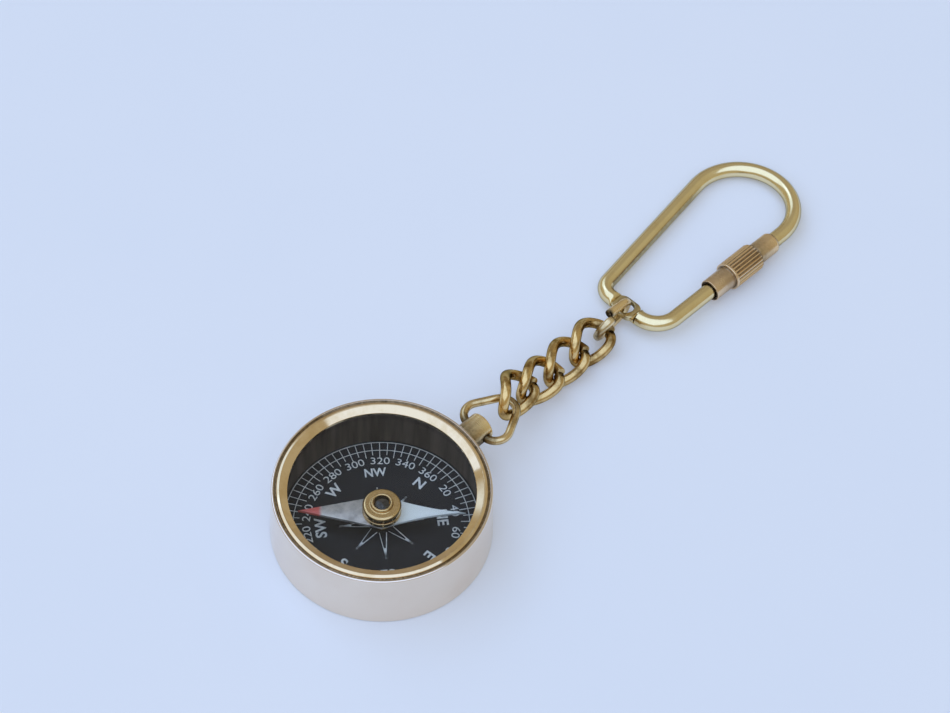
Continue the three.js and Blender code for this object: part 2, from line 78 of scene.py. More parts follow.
WHITE = (1.0, 1.0, 1.0, 1.0)
Body = bmesh.types.BMesh
Material = bpy.types.Material
Socket = bpy.types.NodeSocket
Colour = tuple[float, float, float, float]
Point = tuple[float, float]


class Rider(Enum):
    """The bodies that pieces ride on."""

    CASE = "compass_case"
    NEEDLE = "needle"
    BOW = "bow"
    LINK_1 = "link_1"
    LINK_2 = "link_2"
    LINK_3 = "link_3"
    LINK_4 = "link_4"
    RING = "ring"
    HOOP = "hoop"
    SLEEVE = "sleeve"


class Slot(Enum):
    """The record's material slots."""

    CASE = "case_brass"
    CRYSTAL = "crystal_glass"
    DIAL = "dial_black"
    LINER = "liner_dark"
    BUSH = "pivot_brass"
    PIN = "pivot_steel"
    NEEDLE = "needle_silver"
    HUB = "hub_brass"
    JEWEL = "jewel_dark"
    BOW = "wire_brass"
    CHAIN = "chain_brass"
    HOOP = "hoop_brass"
    LOCK = "lock_brass"
    FERRULE = "ferrule_brass"


class Joining(Enum):
    """How bodies are combined."""

    CUT = "DIFFERENCE"
    FUSE = "UNION"


def colour(red: int, green: int, blue: int) -> Colour:
    """Turns an eight-bit display colour into the linear one that shaders take, with full alpha."""
    shares = [level / 255 for level in (red, green, blue)]
    return (*(s / 12.92 if s <= 0.04045 else ((s + 0.055) / 1.055) ** 2.4 for s in shares), 1.0)


class Sketch:
    """Places nodes in one tree and joins them."""

    def __init__(self, tree: bpy.types.NodeTree) -> None:
        """Starts from an empty tree."""
        self.tree = tree
        tree.nodes.clear()

    def node(self, kind: str, inputs: dict | None = None, **settings: object) -> bpy.types.Node:
        """Adds a node.

        Args:
            kind: The node's type name.
            inputs: Socket names or numbers with values, or with sockets to join to.
            settings: Properties of the node.

        Returns:
            The new node.
        """
        made = self.tree.nodes.new(kind)
        for name, value in settings.items():
            setattr(made, name, value)
        for name, value in (inputs or {}).items():
            if isinstance(value, Socket):
                self.tree.links.new(value, made.inputs[name])
            else:
                made.inputs[name].default_value = value
        return made

    def place(self) -> Socket:
        """Adds object coordinates."""
        return self.node("ShaderNodeTexCoord").outputs["Object"]

    def noise(self, vector: Socket, scale: object, detail: float = 3.0) -> Socket:
        """Adds a noise texture of so many octaves and gives its value."""
        inputs = {"Vector": vector, "Scale": scale, "Detail": detail, "Roughness": 0.6}
        return self.node("ShaderNodeTexNoise", inputs).outputs["Fac"]

    def math(self, operation: str, first: object, second: object, clamp: bool = False) -> Socket:
        """Joins two values by an operation, kept from 0 to 1 if clamped."""
        made = self.node("ShaderNodeMath", {0: first, 1: second}, operation=operation, use_clamp=clamp)
        return made.outputs[0]

    def vector(self, operation: str, first: Socket, second: object) -> bpy.types.bpy_prop_collection:
        """Joins two vectors by an operation and gives its outputs."""
        return self.node("ShaderNodeVectorMath", {0: first, 1: second}, operation=operation).outputs

    def step(self, value: Socket, low: float, high: float) -> Socket:
        """Adds a smooth step from 0 at low to 1 at high."""
        inputs = {"Value": value, "From Min": low, "From Max": high}
        return self.node("ShaderNodeMapRange", inputs, interpolation_type="SMOOTHSTEP").outputs["Result"]

    def mix(self, share: object, first: object, second: object) -> Socket:
        """Adds a mix of two colours by the share of the second."""
        return self.node("ShaderNodeMix", {0: share, 6: first, 7: second}, data_type="RGBA").outputs[2]

    def show(self, made: bpy.types.Node, output: str = "ShaderNodeOutputMaterial") -> None:
        """Makes a node the surface of the tree's material or world."""
        self.node(output, {"Surface": made.outputs[0]})

    def surface(self, inputs: dict, height: Socket, bump: float, depth: float = 0.0001) -> None:
        """Shows a surface with a bump.

        Args:
            inputs: The surface's inputs without its normal.
            height: The bump's height.
            bump: The bump's strength.
            depth: The bump's depth in metres.
        """
        relief = self.node("ShaderNodeBump", {"Height": height, "Strength": bump, "Distance": depth})
        normal = relief.outputs["Normal"]
        self.show(self.node("ShaderNodeBsdfPrincipled", {**inputs, "Normal": normal}))


class Effects:
    """Shader groups that several finishes share, each built once."""

    def __init__(self) -> None:
        """Builds the groups."""
        self.patina = self.build_patina()
        self.handling = self.build_handling()

    @staticmethod
    def open_group(name: str, takes: dict[str, object], gives: dict[str, str]) -> tuple:
        """Starts a group with named sockets.

        Args:
            name: The group's name.
            takes: Input names with a number, a vector of three or a colour of four values.
            gives: Output names with what they give.

        Returns:
            The group, its sketch and its input sockets.
        """
        group = bpy.data.node_groups.new(name, "ShaderNodeTree")
        kinds = {0: "Float", 3: "Vector", 4: "Color"}
        for label, default in takes.items():
            kind = kinds[len(default) if isinstance(default, tuple) else 0]
            socket = group.interface.new_socket(name=label, in_out="INPUT", socket_type=f"NodeSocket{kind}")
            socket.default_value = default
        for label, kind in gives.items():
            group.interface.new_socket(name=label, in_out="OUTPUT", socket_type=f"NodeSocket{kind}")
        sketch = Sketch(group)
        return group, sketch, sketch.node("NodeGroupInput").outputs

    def build_patina(self) -> bpy.types.NodeTree:
        """Cloudy tarnish over clean metal, darkened where a piece's own attribute says: by dirt on some
        pieces and by painted shade in grooves, holes and joints on others.

        Returns:
            The group.
        """
        tones = {"Clean": WHITE, "Tarnish": WHITE, "Dark": WHITE}
        group, sketch, given = self.open_group(
            "Brass patina",
            {"Vector": (0.0, 0.0, 0.0), "Dirt and shade": 0.0, **tones, "Scale": 200.0, "Cover": 0.5},
            {"Color": "Color", "Dullness": "Float"},
        )
        cloud = sketch.noise(given["Vector"], given["Scale"], 5.0)
        cover = sketch.math("MULTIPLY", sketch.step(cloud, 0.42, 0.68), given["Cover"])
        fine = sketch.noise(given["Vector"], sketch.math("MULTIPLY", given["Scale"], 7.0))
        uneven = sketch.math("ADD", sketch.math("MULTIPLY", fine, 1.1), 0.35)
        # Darkening from the piece's attribute: dirt on some pieces, painted shade on others.
        dirt_and_shade = sketch.math("MULTIPLY", given["Dirt and shade"], uneven, clamp=True)
        tone = sketch.mix(cover, given["Clean"], given["Tarnish"])
        dull_cover = sketch.math("MULTIPLY", cover, 0.5)
        dull_dirt_and_shade = sketch.math("MULTIPLY", dirt_and_shade, 0.7)
        dull = sketch.math("ADD", dull_cover, dull_dirt_and_shade, clamp=True)
        sketch.node("NodeGroupOutput", {"Color": sketch.mix(dirt_and_shade, tone, given["Dark"]), "Dullness": dull})
        return group

    def build_handling(self) -> bpy.types.NodeTree:
        """Fine hairlines and soft dents left by use.

        Returns:
            The group.
        """
        group, sketch, given = self.open_group(
            "Handling marks",
            {
                "Vector": (0.0, 0.0, 0.0), "Stretch": (400.0, 400.0, 4000.0),
                "Roughness": 0.15, "Spread": 0.1, "Dullness": 0.0,
            },
            {"Roughness": "Float", "Height": "Float"},
        )
        hairs = sketch.noise(sketch.vector("MULTIPLY", given["Vector"], given["Stretch"])[0], 1.0, 4.0)
        dents = sketch.noise(given["Vector"], 420.0, 2.0)
        worn = sketch.math("ADD", hairs, sketch.math("MULTIPLY", given["Dullness"], 1.6))
        marks = sketch.math("MULTIPLY", worn, given["Spread"])
        rough = sketch.math("ADD", given["Roughness"], marks, clamp=True)
        fine = sketch.math("MULTIPLY", hairs, 0.35)
        height = sketch.math("ADD", fine, sketch.math("MULTIPLY", dents, 0.65))
        sketch.node("NodeGroupOutput", {"Roughness": rough, "Height": height})
        return group


def open_material(name: str) -> tuple[Material, Sketch]:
    """Starts an empty node material.

    Args:
        name: The material's name.

    Returns:
        The material and the sketch of its tree.
    """
    material = bpy.data.materials.new(name)
    material.use_nodes = True
    return material, Sketch(material.node_tree)


@dataclass(frozen=True)
class BrassFinish:
    """One tone of brass, from clean and bright to tarnished, darkened where its pieces say, by dirt on some
    and by painted shade on others.
    """

    name: str
    clean: Colour
    tarnish: Colour
    dark: Colour
    roughness: float = 0.14
    spread: float = 0.12
    cover: float = 0.35
    cloud: float = 220.0
    stretch: tuple[float, float, float] = (700.0, 700.0, 700.0)
    bump: float = 0.05
    edge: float = 1.0

    def material(self, effects: Effects) -> Material:
        """Builds the finish.

        Args:
            effects: The shared groups.

        Returns:
            The material.
        """
        material, sketch = open_material(self.name)
        place = sketch.place()
        # The attribute carries each piece's darkening: dirt, and painted shade in grooves, holes and joints.
        dirt_and_shade = sketch.node("ShaderNodeAttribute", attribute_name="dirt_and_shade").outputs["Fac"]
        tones = {"Clean": self.clean, "Tarnish": self.tarnish, "Dark": self.dark}
        inputs = {"Vector": place, "Dirt and shade": dirt_and_shade, **tones, "Scale": self.cloud, "Cover": self.cover}
        patina = sketch.node("ShaderNodeGroup", inputs, node_tree=effects.patina).outputs
        marks = {
            "Vector": place, "Stretch": self.stretch, "Dullness": patina["Dullness"],
            "Roughness": self.roughness, "Spread": self.spread,
        }
        handling = sketch.node("ShaderNodeGroup", marks, node_tree=effects.handling).outputs
        look = {
            "Base Color": patina["Color"], "Metallic": 1.0, "Roughness": handling["Roughness"],
            "Specular Tint": (self.edge, self.edge, self.edge, 1.0),
        }
        sketch.surface(look, handling["Height"], self.bump, 0.0002)
        return material


@dataclass(frozen=True)
class WallFinish:
    """The case's polished wall: pale where it mirrors the table, golden at its rim."""

    name: str = "case_polished_brass"
    wall: Colour = colour(243, 228, 210)
    shade: Colour = colour(239, 222, 203)
    rim: Colour = colour(238, 224, 212)
    rim_start: float = 11.4
    rim_end: float = 11.56
    roughness: float = 0.06
    spread: float = 0.08
    stretch: tuple[float, float, float] = (120.0, 120.0, 9000.0)

    def material(self, effects: Effects) -> Material:
        """Builds the finish.

        Args:
            effects: The shared groups.

        Returns:
            The material.
        """
        material, sketch = open_material(self.name)
        place = sketch.place()
        height = sketch.node("ShaderNodeSeparateXYZ", {0: place}).outputs["Z"]
        at_rim = sketch.step(height, self.rim_start * MM, self.rim_end * MM)
        cloud = sketch.step(sketch.noise(place, 90.0, 4.0), 0.35, 0.75)
        tone = sketch.mix(at_rim, sketch.mix(cloud, self.wall, self.shade), self.rim)
        marks = {"Vector": place, "Stretch": self.stretch, "Roughness": self.roughness, "Spread": self.spread}
        handling = sketch.node("ShaderNodeGroup", marks, node_tree=effects.handling).outputs
        look = {"Base Color": tone, "Metallic": 1.0, "Roughness": handling["Roughness"]}
        sketch.surface(look, handling["Height"], 0.03)
        return material


@dataclass(frozen=True)
class GlassFinish:
    """Clear flat glass that lets lamp light through to the dial."""

    name: str = "crystal_clear_glass"
    tone: Colour = (0.97, 0.985, 0.985, 1.0)
    shadow: Colour = (0.93, 0.94, 0.94, 1.0)
    ior: float = 1.34

    def material(self) -> Material:
        """Builds the finish.

        Returns:
            The material.
        """
        material, sketch = open_material(self.name)
        smudge = sketch.step(sketch.noise(sketch.place(), 160.0, 4.0), 0.55, 0.8)
        look = {
            "Base Color": self.tone, "Metallic": 0.0, "Roughness": sketch.math("MULTIPLY", smudge, 0.03),
            "IOR": self.ior, "Transmission Weight": 1.0,
        }
        glass = sketch.node("ShaderNodeBsdfPrincipled", look).outputs[0]
        clear = sketch.node("ShaderNodeBsdfTransparent", {"Color": self.shadow}).outputs[0]
        shadow = sketch.node("ShaderNodeLightPath").outputs["Is Shadow Ray"]
        sketch.show(sketch.node("ShaderNodeMixShader", {0: shadow, 1: glass, 2: clear}))
        return material


@dataclass(frozen=True)
class PaintFinish:
    """A painted, printed or plain moulded surface with a fine uneven tone."""

    name: str
    tone: Colour
    shade: Colour
    roughness: float = 0.55
    grain: float = 900.0
    metallic: float = 0.0
    streak: tuple[float, float, float] = (1.0, 1.0, 1.0)
    shine: float = 0.5

    def material(self) -> Material:
        """Builds the finish.

        Returns:
            The material.
        """
        material, sketch = open_material(self.name)
        drawn = sketch.vector("MULTIPLY", sketch.place(), self.streak)[0]
        cloud = sketch.step(sketch.noise(drawn, self.grain, 4.0), 0.3, 0.75)
        rough = sketch.math("ADD", sketch.math("MULTIPLY", cloud, 0.12), self.roughness - 0.06)
        look = {
            "Base Color": sketch.mix(cloud, self.tone, self.shade), "Metallic": self.metallic,
            "Roughness": rough, "Specular IOR Level": self.shine,
        }
        sketch.surface(look, cloud, 0.06)
        return material


@dataclass(frozen=True)
class NeedleFinish:
    """Satin silver with a dipped red tip, and a painted highlight: the half away from the tip is painted
    lighter.
    """

    name: str = "needle_silver_red_tip"
    silver: Colour = colour(202, 194, 184)
    shade: Colour = colour(150, 143, 136)
    # Tone of the painted highlight on the half away from the red tip.
    bright: Colour = colour(246, 248, 240)
    red: Colour = colour(228, 106, 96)
    heading: float = 136.0
    red_from: float = 10.2
    red_to: float = 11.0

    def material(self) -> Material:
        """Builds the finish.

        Returns:
            The material.
        """
        material, sketch = open_material(self.name)
        place = sketch.place()
        turn = math.radians(self.heading)
        along = sketch.vector("DOT_PRODUCT", place, (math.cos(turn), math.sin(turn), 0.0))["Value"]
        ragged = sketch.math("MULTIPLY", sketch.noise(place, 1500.0), 0.0004)
        tip = sketch.step(sketch.math("ADD", along, ragged), self.red_from * MM, self.red_to * MM)
        cloud = sketch.step(sketch.noise(place, 350.0, 5.0), 0.35, 0.7)
        # Painted highlight: the half away from the red tip is painted lighter and less metallic.
        lit_half = sketch.step(along, 0.0, -4.0 * MM)
        metal = sketch.mix(lit_half, sketch.mix(cloud, self.silver, self.shade), self.bright)
        red_or_lit = sketch.math("MAXIMUM", tip, lit_half)
        look = {
            "Base Color": sketch.mix(tip, metal, self.red),
            "Metallic": sketch.math("MULTIPLY", sketch.math("SUBTRACT", 1.0, red_or_lit), 0.5),
            "Roughness": sketch.math("ADD", 0.34, sketch.math("MULTIPLY", cloud, 0.12)),
        }
        sketch.surface(look, cloud, 0.05)
        return material


class Finishes:
    """Every finish of the object, built once."""

    def __init__(self) -> None:
        """Builds the materials."""
        effects = Effects()

        def brass(name: str, *tones: tuple[int, int, int], **values: object) -> Material:
            """One brass from its clean, tarnished and dark tones."""
            return BrassFinish(name, *(colour(*tone) for tone in tones), **values).material(effects)

        self.wall = WallFinish().material(effects)
        self.bezel = brass(
            "bezel_bright_brass", (240, 216, 178), (222, 192, 144), (34, 27, 22),
            roughness=0.04, spread=0.06, cover=0.6, cloud=300.0, bump=0.02,
        )
        self.stem = brass(
            "stem_satin_brass", (254, 230, 178), (226, 188, 132), (62, 42, 22),
            roughness=0.16, spread=0.14, cover=0.65, cloud=320.0, stretch=(6000.0, 500.0, 500.0), bump=0.08,
            edge=0.7,
        )
        self.bow = brass(
            "bow_wire_brass", (232, 206, 156), (138, 111, 66), (36, 26, 14),
            cover=0.85, cloud=300.0, edge=0.3,
        )
        self.chain = brass(
            "chain_aged_brass", (234, 200, 138), (138, 105, 57), (30, 21, 11),
            roughness=0.12, spread=0.14, cover=0.95, cloud=360.0, bump=0.14, edge=0.2,
        )
        self.hoop = brass(
            "hoop_drawn_brass", (246, 228, 180), (234, 210, 154), (64, 46, 26),
            roughness=0.11, spread=0.1, cover=0.6, cloud=180.0, edge=0.35,
        )
        self.ring = brass(
            "ring_bright_brass", (254, 230, 182), (236, 202, 146), (30, 21, 11),
            roughness=0.15, cover=0.6, cloud=300.0, edge=0.8,
        )
        self.lock = brass(
            "lock_reddish_brass", (240, 213, 176), (212, 179, 138), (46, 30, 18),
            roughness=0.17, spread=0.14, cover=0.6, cloud=320.0, edge=0.7,
        )
        self.ferrule = brass(
            "ferrule_brown_brass", (250, 221, 176), (230, 193, 144), (50, 34, 20),
            roughness=0.18, spread=0.14, cover=0.6, cloud=320.0, edge=0.7,
        )
        self.hub = brass(
            "hub_turned_brass", (222, 190, 138), (172, 138, 88), (34, 25, 14),
            roughness=0.15, spread=0.06, cover=0.5, cloud=140.0, bump=0.02,
        )

        def paint(name: str, *tones: tuple[int, int, int], **values: object) -> Material:
            """One paint from its tone and its shade."""
            return PaintFinish(name, *(colour(*tone) for tone in tones), **values).material()

        self.glass = GlassFinish().material()
        self.dial = paint(
            "dial_black_card", (33, 31, 33), (40, 38, 40), roughness=0.6, grain=1400.0, shine=0.2
        )
        self.ink = paint("dial_white_ink", (236, 232, 220), (198, 194, 184), roughness=0.6, grain=1800.0)
        self.liner = paint(
            "liner_dark_metal", (124, 108, 96), (76, 64, 56),
            roughness=0.36, grain=1.0, metallic=0.6, streak=(420.0, 420.0, 30.0),
        )
        self.steel = paint("pin_ground_steel", (190, 192, 196), (150, 152, 156), roughness=0.3, metallic=1.0)
        self.jewel = paint("jewel_dark_glass", (58, 50, 44), (30, 26, 24), roughness=0.12, grain=700.0)
        self.needle = NeedleFinish().material()


def hold_flat(edge: bmesh.types.BMEdge) -> None:
    """Splits a long edge close to both ends, so that smooth shading stays flat between them.

    Args:
        edge: The edge.
    """
    length = edge.calc_length()
    if length > 6 * FLAT_MARGIN:
        start, end = edge.verts
        rest, _ = bmesh.utils.edge_split(edge, start, FLAT_MARGIN / length)
        longer = max((edge, rest), key=lambda part: part.calc_length())
        bmesh.utils.edge_split(longer, end, FLAT_MARGIN / longer.calc_length())


def rounded(bm: Body, geom: list, amount: float, segments: int) -> None:
    """Rounds edges, or corners where points are given."""
    affect = "VERTICES" if isinstance(geom[0], bmesh.types.BMVert) else "EDGES"
    bmesh.ops.bevel(bm, geom=geom, offset=amount, segments=segments, profile=0.5, affect=affect, material=-1)


def outward(bm: Body) -> Body:
    """Turns every face of a body outward and returns it."""
    bmesh.ops.recalc_face_normals(bm, faces=bm.faces[:])
    return bm


def turned(profile: Sequence[Point], rounds: dict[int, float], segments: int) -> Body:
    """Turns a profile about Z.

    Args:
        profile: Radius and height of each corner; a profile off the axis is closed on itself.
        rounds: Rounding of corners, by their number in the profile.
        segments: Steps of the full turn.

    Returns:
        The closed turned body.
    """
    bm = bmesh.new()
    corners = [bm.verts.new((radius, 0.0, height)) for radius, height in profile]
    for start, end in zip(corners, corners[1:]):
        bm.edges.new((start, end))
    if profile[0][0] > 0:
        bm.edges.new((corners[-1], corners[0]))
    for number, amount in rounds.items():
        rounded(bm, [corners[number]], amount, 5)
    for edge in bm.edges[:]:
        hold_flat(edge)
    bmesh.ops.spin(
        bm, geom=bm.verts[:] + bm.edges[:], cent=(0, 0, 0), axis=(0, 0, 1), angle=FULL_TURN, steps=segments,
        use_merge=True, use_duplicate=False,
    )
    bmesh.ops.remove_doubles(bm, verts=bm.verts[:], dist=1e-5)
    return outward(bm)


def tube(
    inner: float, outer: float, low: float, high: float, segments: int, rounds: dict[int, float] | None = None
) -> Body:
    """Turns a plain tube, or a rod where the inner radius is 0."""
    return turned([(inner, low), (outer, low), (outer, high), (inner, high)], rounds or {}, segments)


def points_of(made: Sequence[object]) -> list[bmesh.types.BMVert]:
    """Picks the points out of what an operator made."""
    return [part for part in made if isinstance(part, bmesh.types.BMVert)]


def extruded(bm: Body, edges: list[bmesh.types.BMEdge]) -> tuple[list, list]:
    """Extrudes a ring of edges in its place.

    Args:
        bm: The body.
        edges: The ring.

    Returns:
        The new ring's points and its edges.
    """
    made = bmesh.ops.extrude_edge_only(bm, edges=edges)["geom"]
    fresh = points_of(made)
    held = set(fresh)
    return fresh, [part for part in made if isinstance(part, bmesh.types.BMEdge) and set(part.verts) <= held]


def thickened(bm: Body, rise: float) -> None:
    """Extrudes a flat outline upward."""
    top = points_of(bmesh.ops.extrude_face_region(bm, geom=bm.faces[:])["geom"])
    bmesh.ops.translate(bm, vec=(0.0, 0.0, rise), verts=top)


def framed(*columns: Vector) -> Matrix:
    """Makes a matrix of three axes and a place."""
    return Matrix([[*(column[row] for column in columns)] for row in range(3)] + [[0, 0, 0, 1]])


def spun(degrees: float, axis: str) -> Matrix:
    """Makes a turn about one axis."""
    return Matrix.Rotation(math.radians(degrees), 4, axis)


@dataclass(frozen=True)
class Station:
    """One section of a bent wire."""

    at: Vector
    along: Vector
    half_width: float
    half_height: float

    def matrix(self) -> Matrix:
        """Places a unit circle as this section.

        Returns:
            The matrix.
        """
        side = self.along.cross(UP).normalized()
        top = side.cross(self.along).normalized()
        return framed(side * self.half_width, top * self.half_height, self.along, self.at)


def swept(stations: Sequence[Station], sides: int = 24) -> Body:
    """Draws a wire through its sections by extruding one ring from each to the next.

    Args:
        stations: The sections in order.
        sides: Sides of the wire.

    Returns:
        The closed wire.
    """
    bm = bmesh.new()
    frame = stations[0].matrix()
    bmesh.ops.create_circle(bm, cap_ends=False, segments=sides, radius=1.0, matrix=frame)
    first = bm.edges[:]
    ring = first
    for station in stations[1:]:
        fresh, ring = extruded(bm, ring)
        matrix = station.matrix()
        bmesh.ops.transform(bm, matrix=matrix @ frame.inverted(), verts=fresh)
        frame = matrix
    for end in (first, ring):
        bmesh.ops.contextual_create(bm, geom=end)
    rounded(bm, first + ring, WIRE_END_ROUND, 2)
    return outward(bm)


@dataclass(frozen=True)
class Corner:
    """One rounded corner of a flat wire path."""

    x: float
    y: float
    round: float


def bent_path(start: Point, corners: Sequence[Corner], end: Point, reach: float = 0.4) -> list[Vector]:
    """Follows straight runs and rounded corners in the XY plane.

    Args:
        start: First point.
        corners: Corners in order.
        end: Last point.
        reach: Longest step along the path.

    Returns:
        Points along the path, close enough together to sweep a wire through.
    """
    points = [Vector((*start, 0.0))]
    stops = [Vector((corner.x, corner.y, 0.0)) for corner in corners] + [Vector((*end, 0.0))]

    def run_to(target: Vector) -> None:
        """Adds a straight run in even steps.

        Args:
            target: Where the run ends.
        """
        begin = points[-1].copy()
        steps = max(1, math.ceil((target - begin).length / (4 * reach)))
        points.extend(begin.lerp(target, (step + 1) / steps) for step in range(steps))

    for corner, at, onward in zip(corners, stops, stops[1:]):
        before = (points[-1] - at).normalized()
        after = (onward - at).normalized()
        half = before.angle(after) / 2
        centre = at + (before + after).normalized() * (corner.round / math.sin(half))
        run_to(at + before * (corner.round / math.tan(half)))
        arm = points[-1] - centre
        sweep = math.pi - 2 * half
        sense = 1.0 if before.cross(after).z < 0 else -1.0
        steps = max(4, math.ceil(sweep * corner.round / reach))
        for step in range(1, steps + 1):
            points.append(centre + Matrix.Rotation(sense * sweep * step / steps, 3, "Z") @ arm)
    run_to(stops[-1])
    return points


def stations_along(points: Sequence[Vector], wire: float) -> list[Station]:
    """Gives each point of a path a round section.

    Args:
        points: Points along the path.
        wire: The wire's diameter.

    Returns:
        The sections.
    """
    stations = []
    for number, point in enumerate(points):
        ahead = points[min(number + 1, len(points) - 1)]
        behind = points[max(number - 1, 0)]
        stations.append(Station(point, (ahead - behind).normalized(), wire / 2, wire / 2))
    return stations


def painted(bm: Body, rule: Callable[[Vector], float]) -> Body:
    """Writes how much each point is darkened, by dirt and by painted shade, for the finish to read.

    Args:
        bm: The body.
        rule: Darkening at a point; it is kept from 0 to 1.

    Returns:
        The same body.
    """
    layer = bm.verts.layers.float.new("dirt_and_shade")
    for vert in bm.verts:
        vert[layer] = min(1.0, max(0.0, rule(vert.co)))
    return bm


def moved(bm: Body, matrix: Matrix) -> Body:
    """Places a body by a matrix and returns it."""
    bmesh.ops.transform(bm, matrix=matrix, verts=bm.verts[:])
    return bm


def meshed(name: str, bm: Body) -> bpy.types.Mesh:
    """Makes a body a mesh and frees it.

    Args:
        name: The mesh's name.
        bm: The body.

    Returns:
        The mesh.
    """
    mesh = bpy.data.meshes.new(name)
    bm.to_mesh(mesh)
    bm.free()
    return mesh


def placed(name: str, data: bpy.types.ID) -> bpy.types.Object:
    """Puts an object in the scene.

    Args:
        name: The object's name.
        data: Its mesh, text, camera or light.

    Returns:
        The object.
    """
    made = bpy.data.objects.new(name, data)
    bpy.context.scene.collection.objects.link(made)
    return made


def absorb(bm: Body, mesh: bpy.types.Mesh) -> None:
    """Adds a mesh to a body and removes the mesh."""
    bm.from_mesh(mesh)
    bpy.data.meshes.remove(mesh)


def evaluated(holder: bpy.types.Object) -> bpy.types.Mesh:
    """Makes a mesh of an object as its modifiers or its text leave it."""
    graph = bpy.context.evaluated_depsgraph_get()
    return bpy.data.meshes.new_from_object(holder.evaluated_get(graph))


def combined(bm: Body, tools: Sequence[Body], joining: Joining = Joining.CUT) -> Body:
    """Cuts tools out of a body, or fuses them with it.

    Args:
        bm: The body.
        tools: The bodies to take away or to add.
        joining: Which of the two.

    Returns:
        One closed body.
    """
    objects = [placed(f"part_{number}", meshed("part", shape)) for number, shape in enumerate((bm, *tools))]
    for tool in objects[1:]:
        modifier = objects[0].modifiers.new("combine", "BOOLEAN")
        modifier.operation = joining.value
        modifier.solver = "EXACT"
        modifier.object = tool
    result = bmesh.new()
    absorb(result, evaluated(objects[0]))
    bmesh.ops.remove_doubles(result, verts=result.verts[:], dist=SLIVER)
    bmesh.ops.dissolve_degenerate(result, edges=result.edges[:], dist=SLIVER)
    bmesh.ops.connect_verts_nonplanar(result, angle_limit=0.01, faces=result.faces[:])
    for used in objects:
        mesh = used.data
        bpy.data.objects.remove(used)
        bpy.data.meshes.remove(mesh)
    return result


def finish_piece(
    name: str, bm: Body, material: Material, rider: Rider,
    nodes: Sequence[str] = (), sharp: float = 34.0,
) -> None:
    """Makes a body an object of the scene, in metres and in its place.

    Args:
        name: The piece's name.
        bm: Its body, in millimetres; it is freed.
        material: Its finish.
        rider: The body it moves with.
        nodes: The frame's nodes that it replaces.
        sharp: Angle in degrees over which an edge stays sharp.
    """
    bmesh.ops.scale(bm, vec=(MM, MM, MM), verts=bm.verts[:])
    mesh = meshed(name, bm)
    mesh.shade_smooth()
    mesh.set_sharp_from_angle(angle=math.radians(sharp))
    mesh.materials.append(material)
    piece = placed(name, mesh)
    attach(piece, rider.value)
    if nodes:
        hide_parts(*nodes)
    LOG.info("%s: %d faces on %s", name, len(mesh.polygons), rider.value)


@dataclass(frozen=True)
class Patch:
    """One place in the room that is lighter or darker than the rest."""

    turn: float
    lift: float
    light: Colour
    low: float
    high: float

    def direction(self, away: float) -> tuple[float, float, float]:
        """Points to the middle of the patch.

        Args:
            away: Azimuth straight away from the camera, in degrees; the patch's turn is to its left.

        Returns:
            The unit direction.
        """
        yaw = math.radians(away + self.turn)
        rise = math.radians(self.lift)
        return (math.cos(yaw) * math.cos(rise), math.sin(yaw) * math.cos(rise), math.sin(rise))


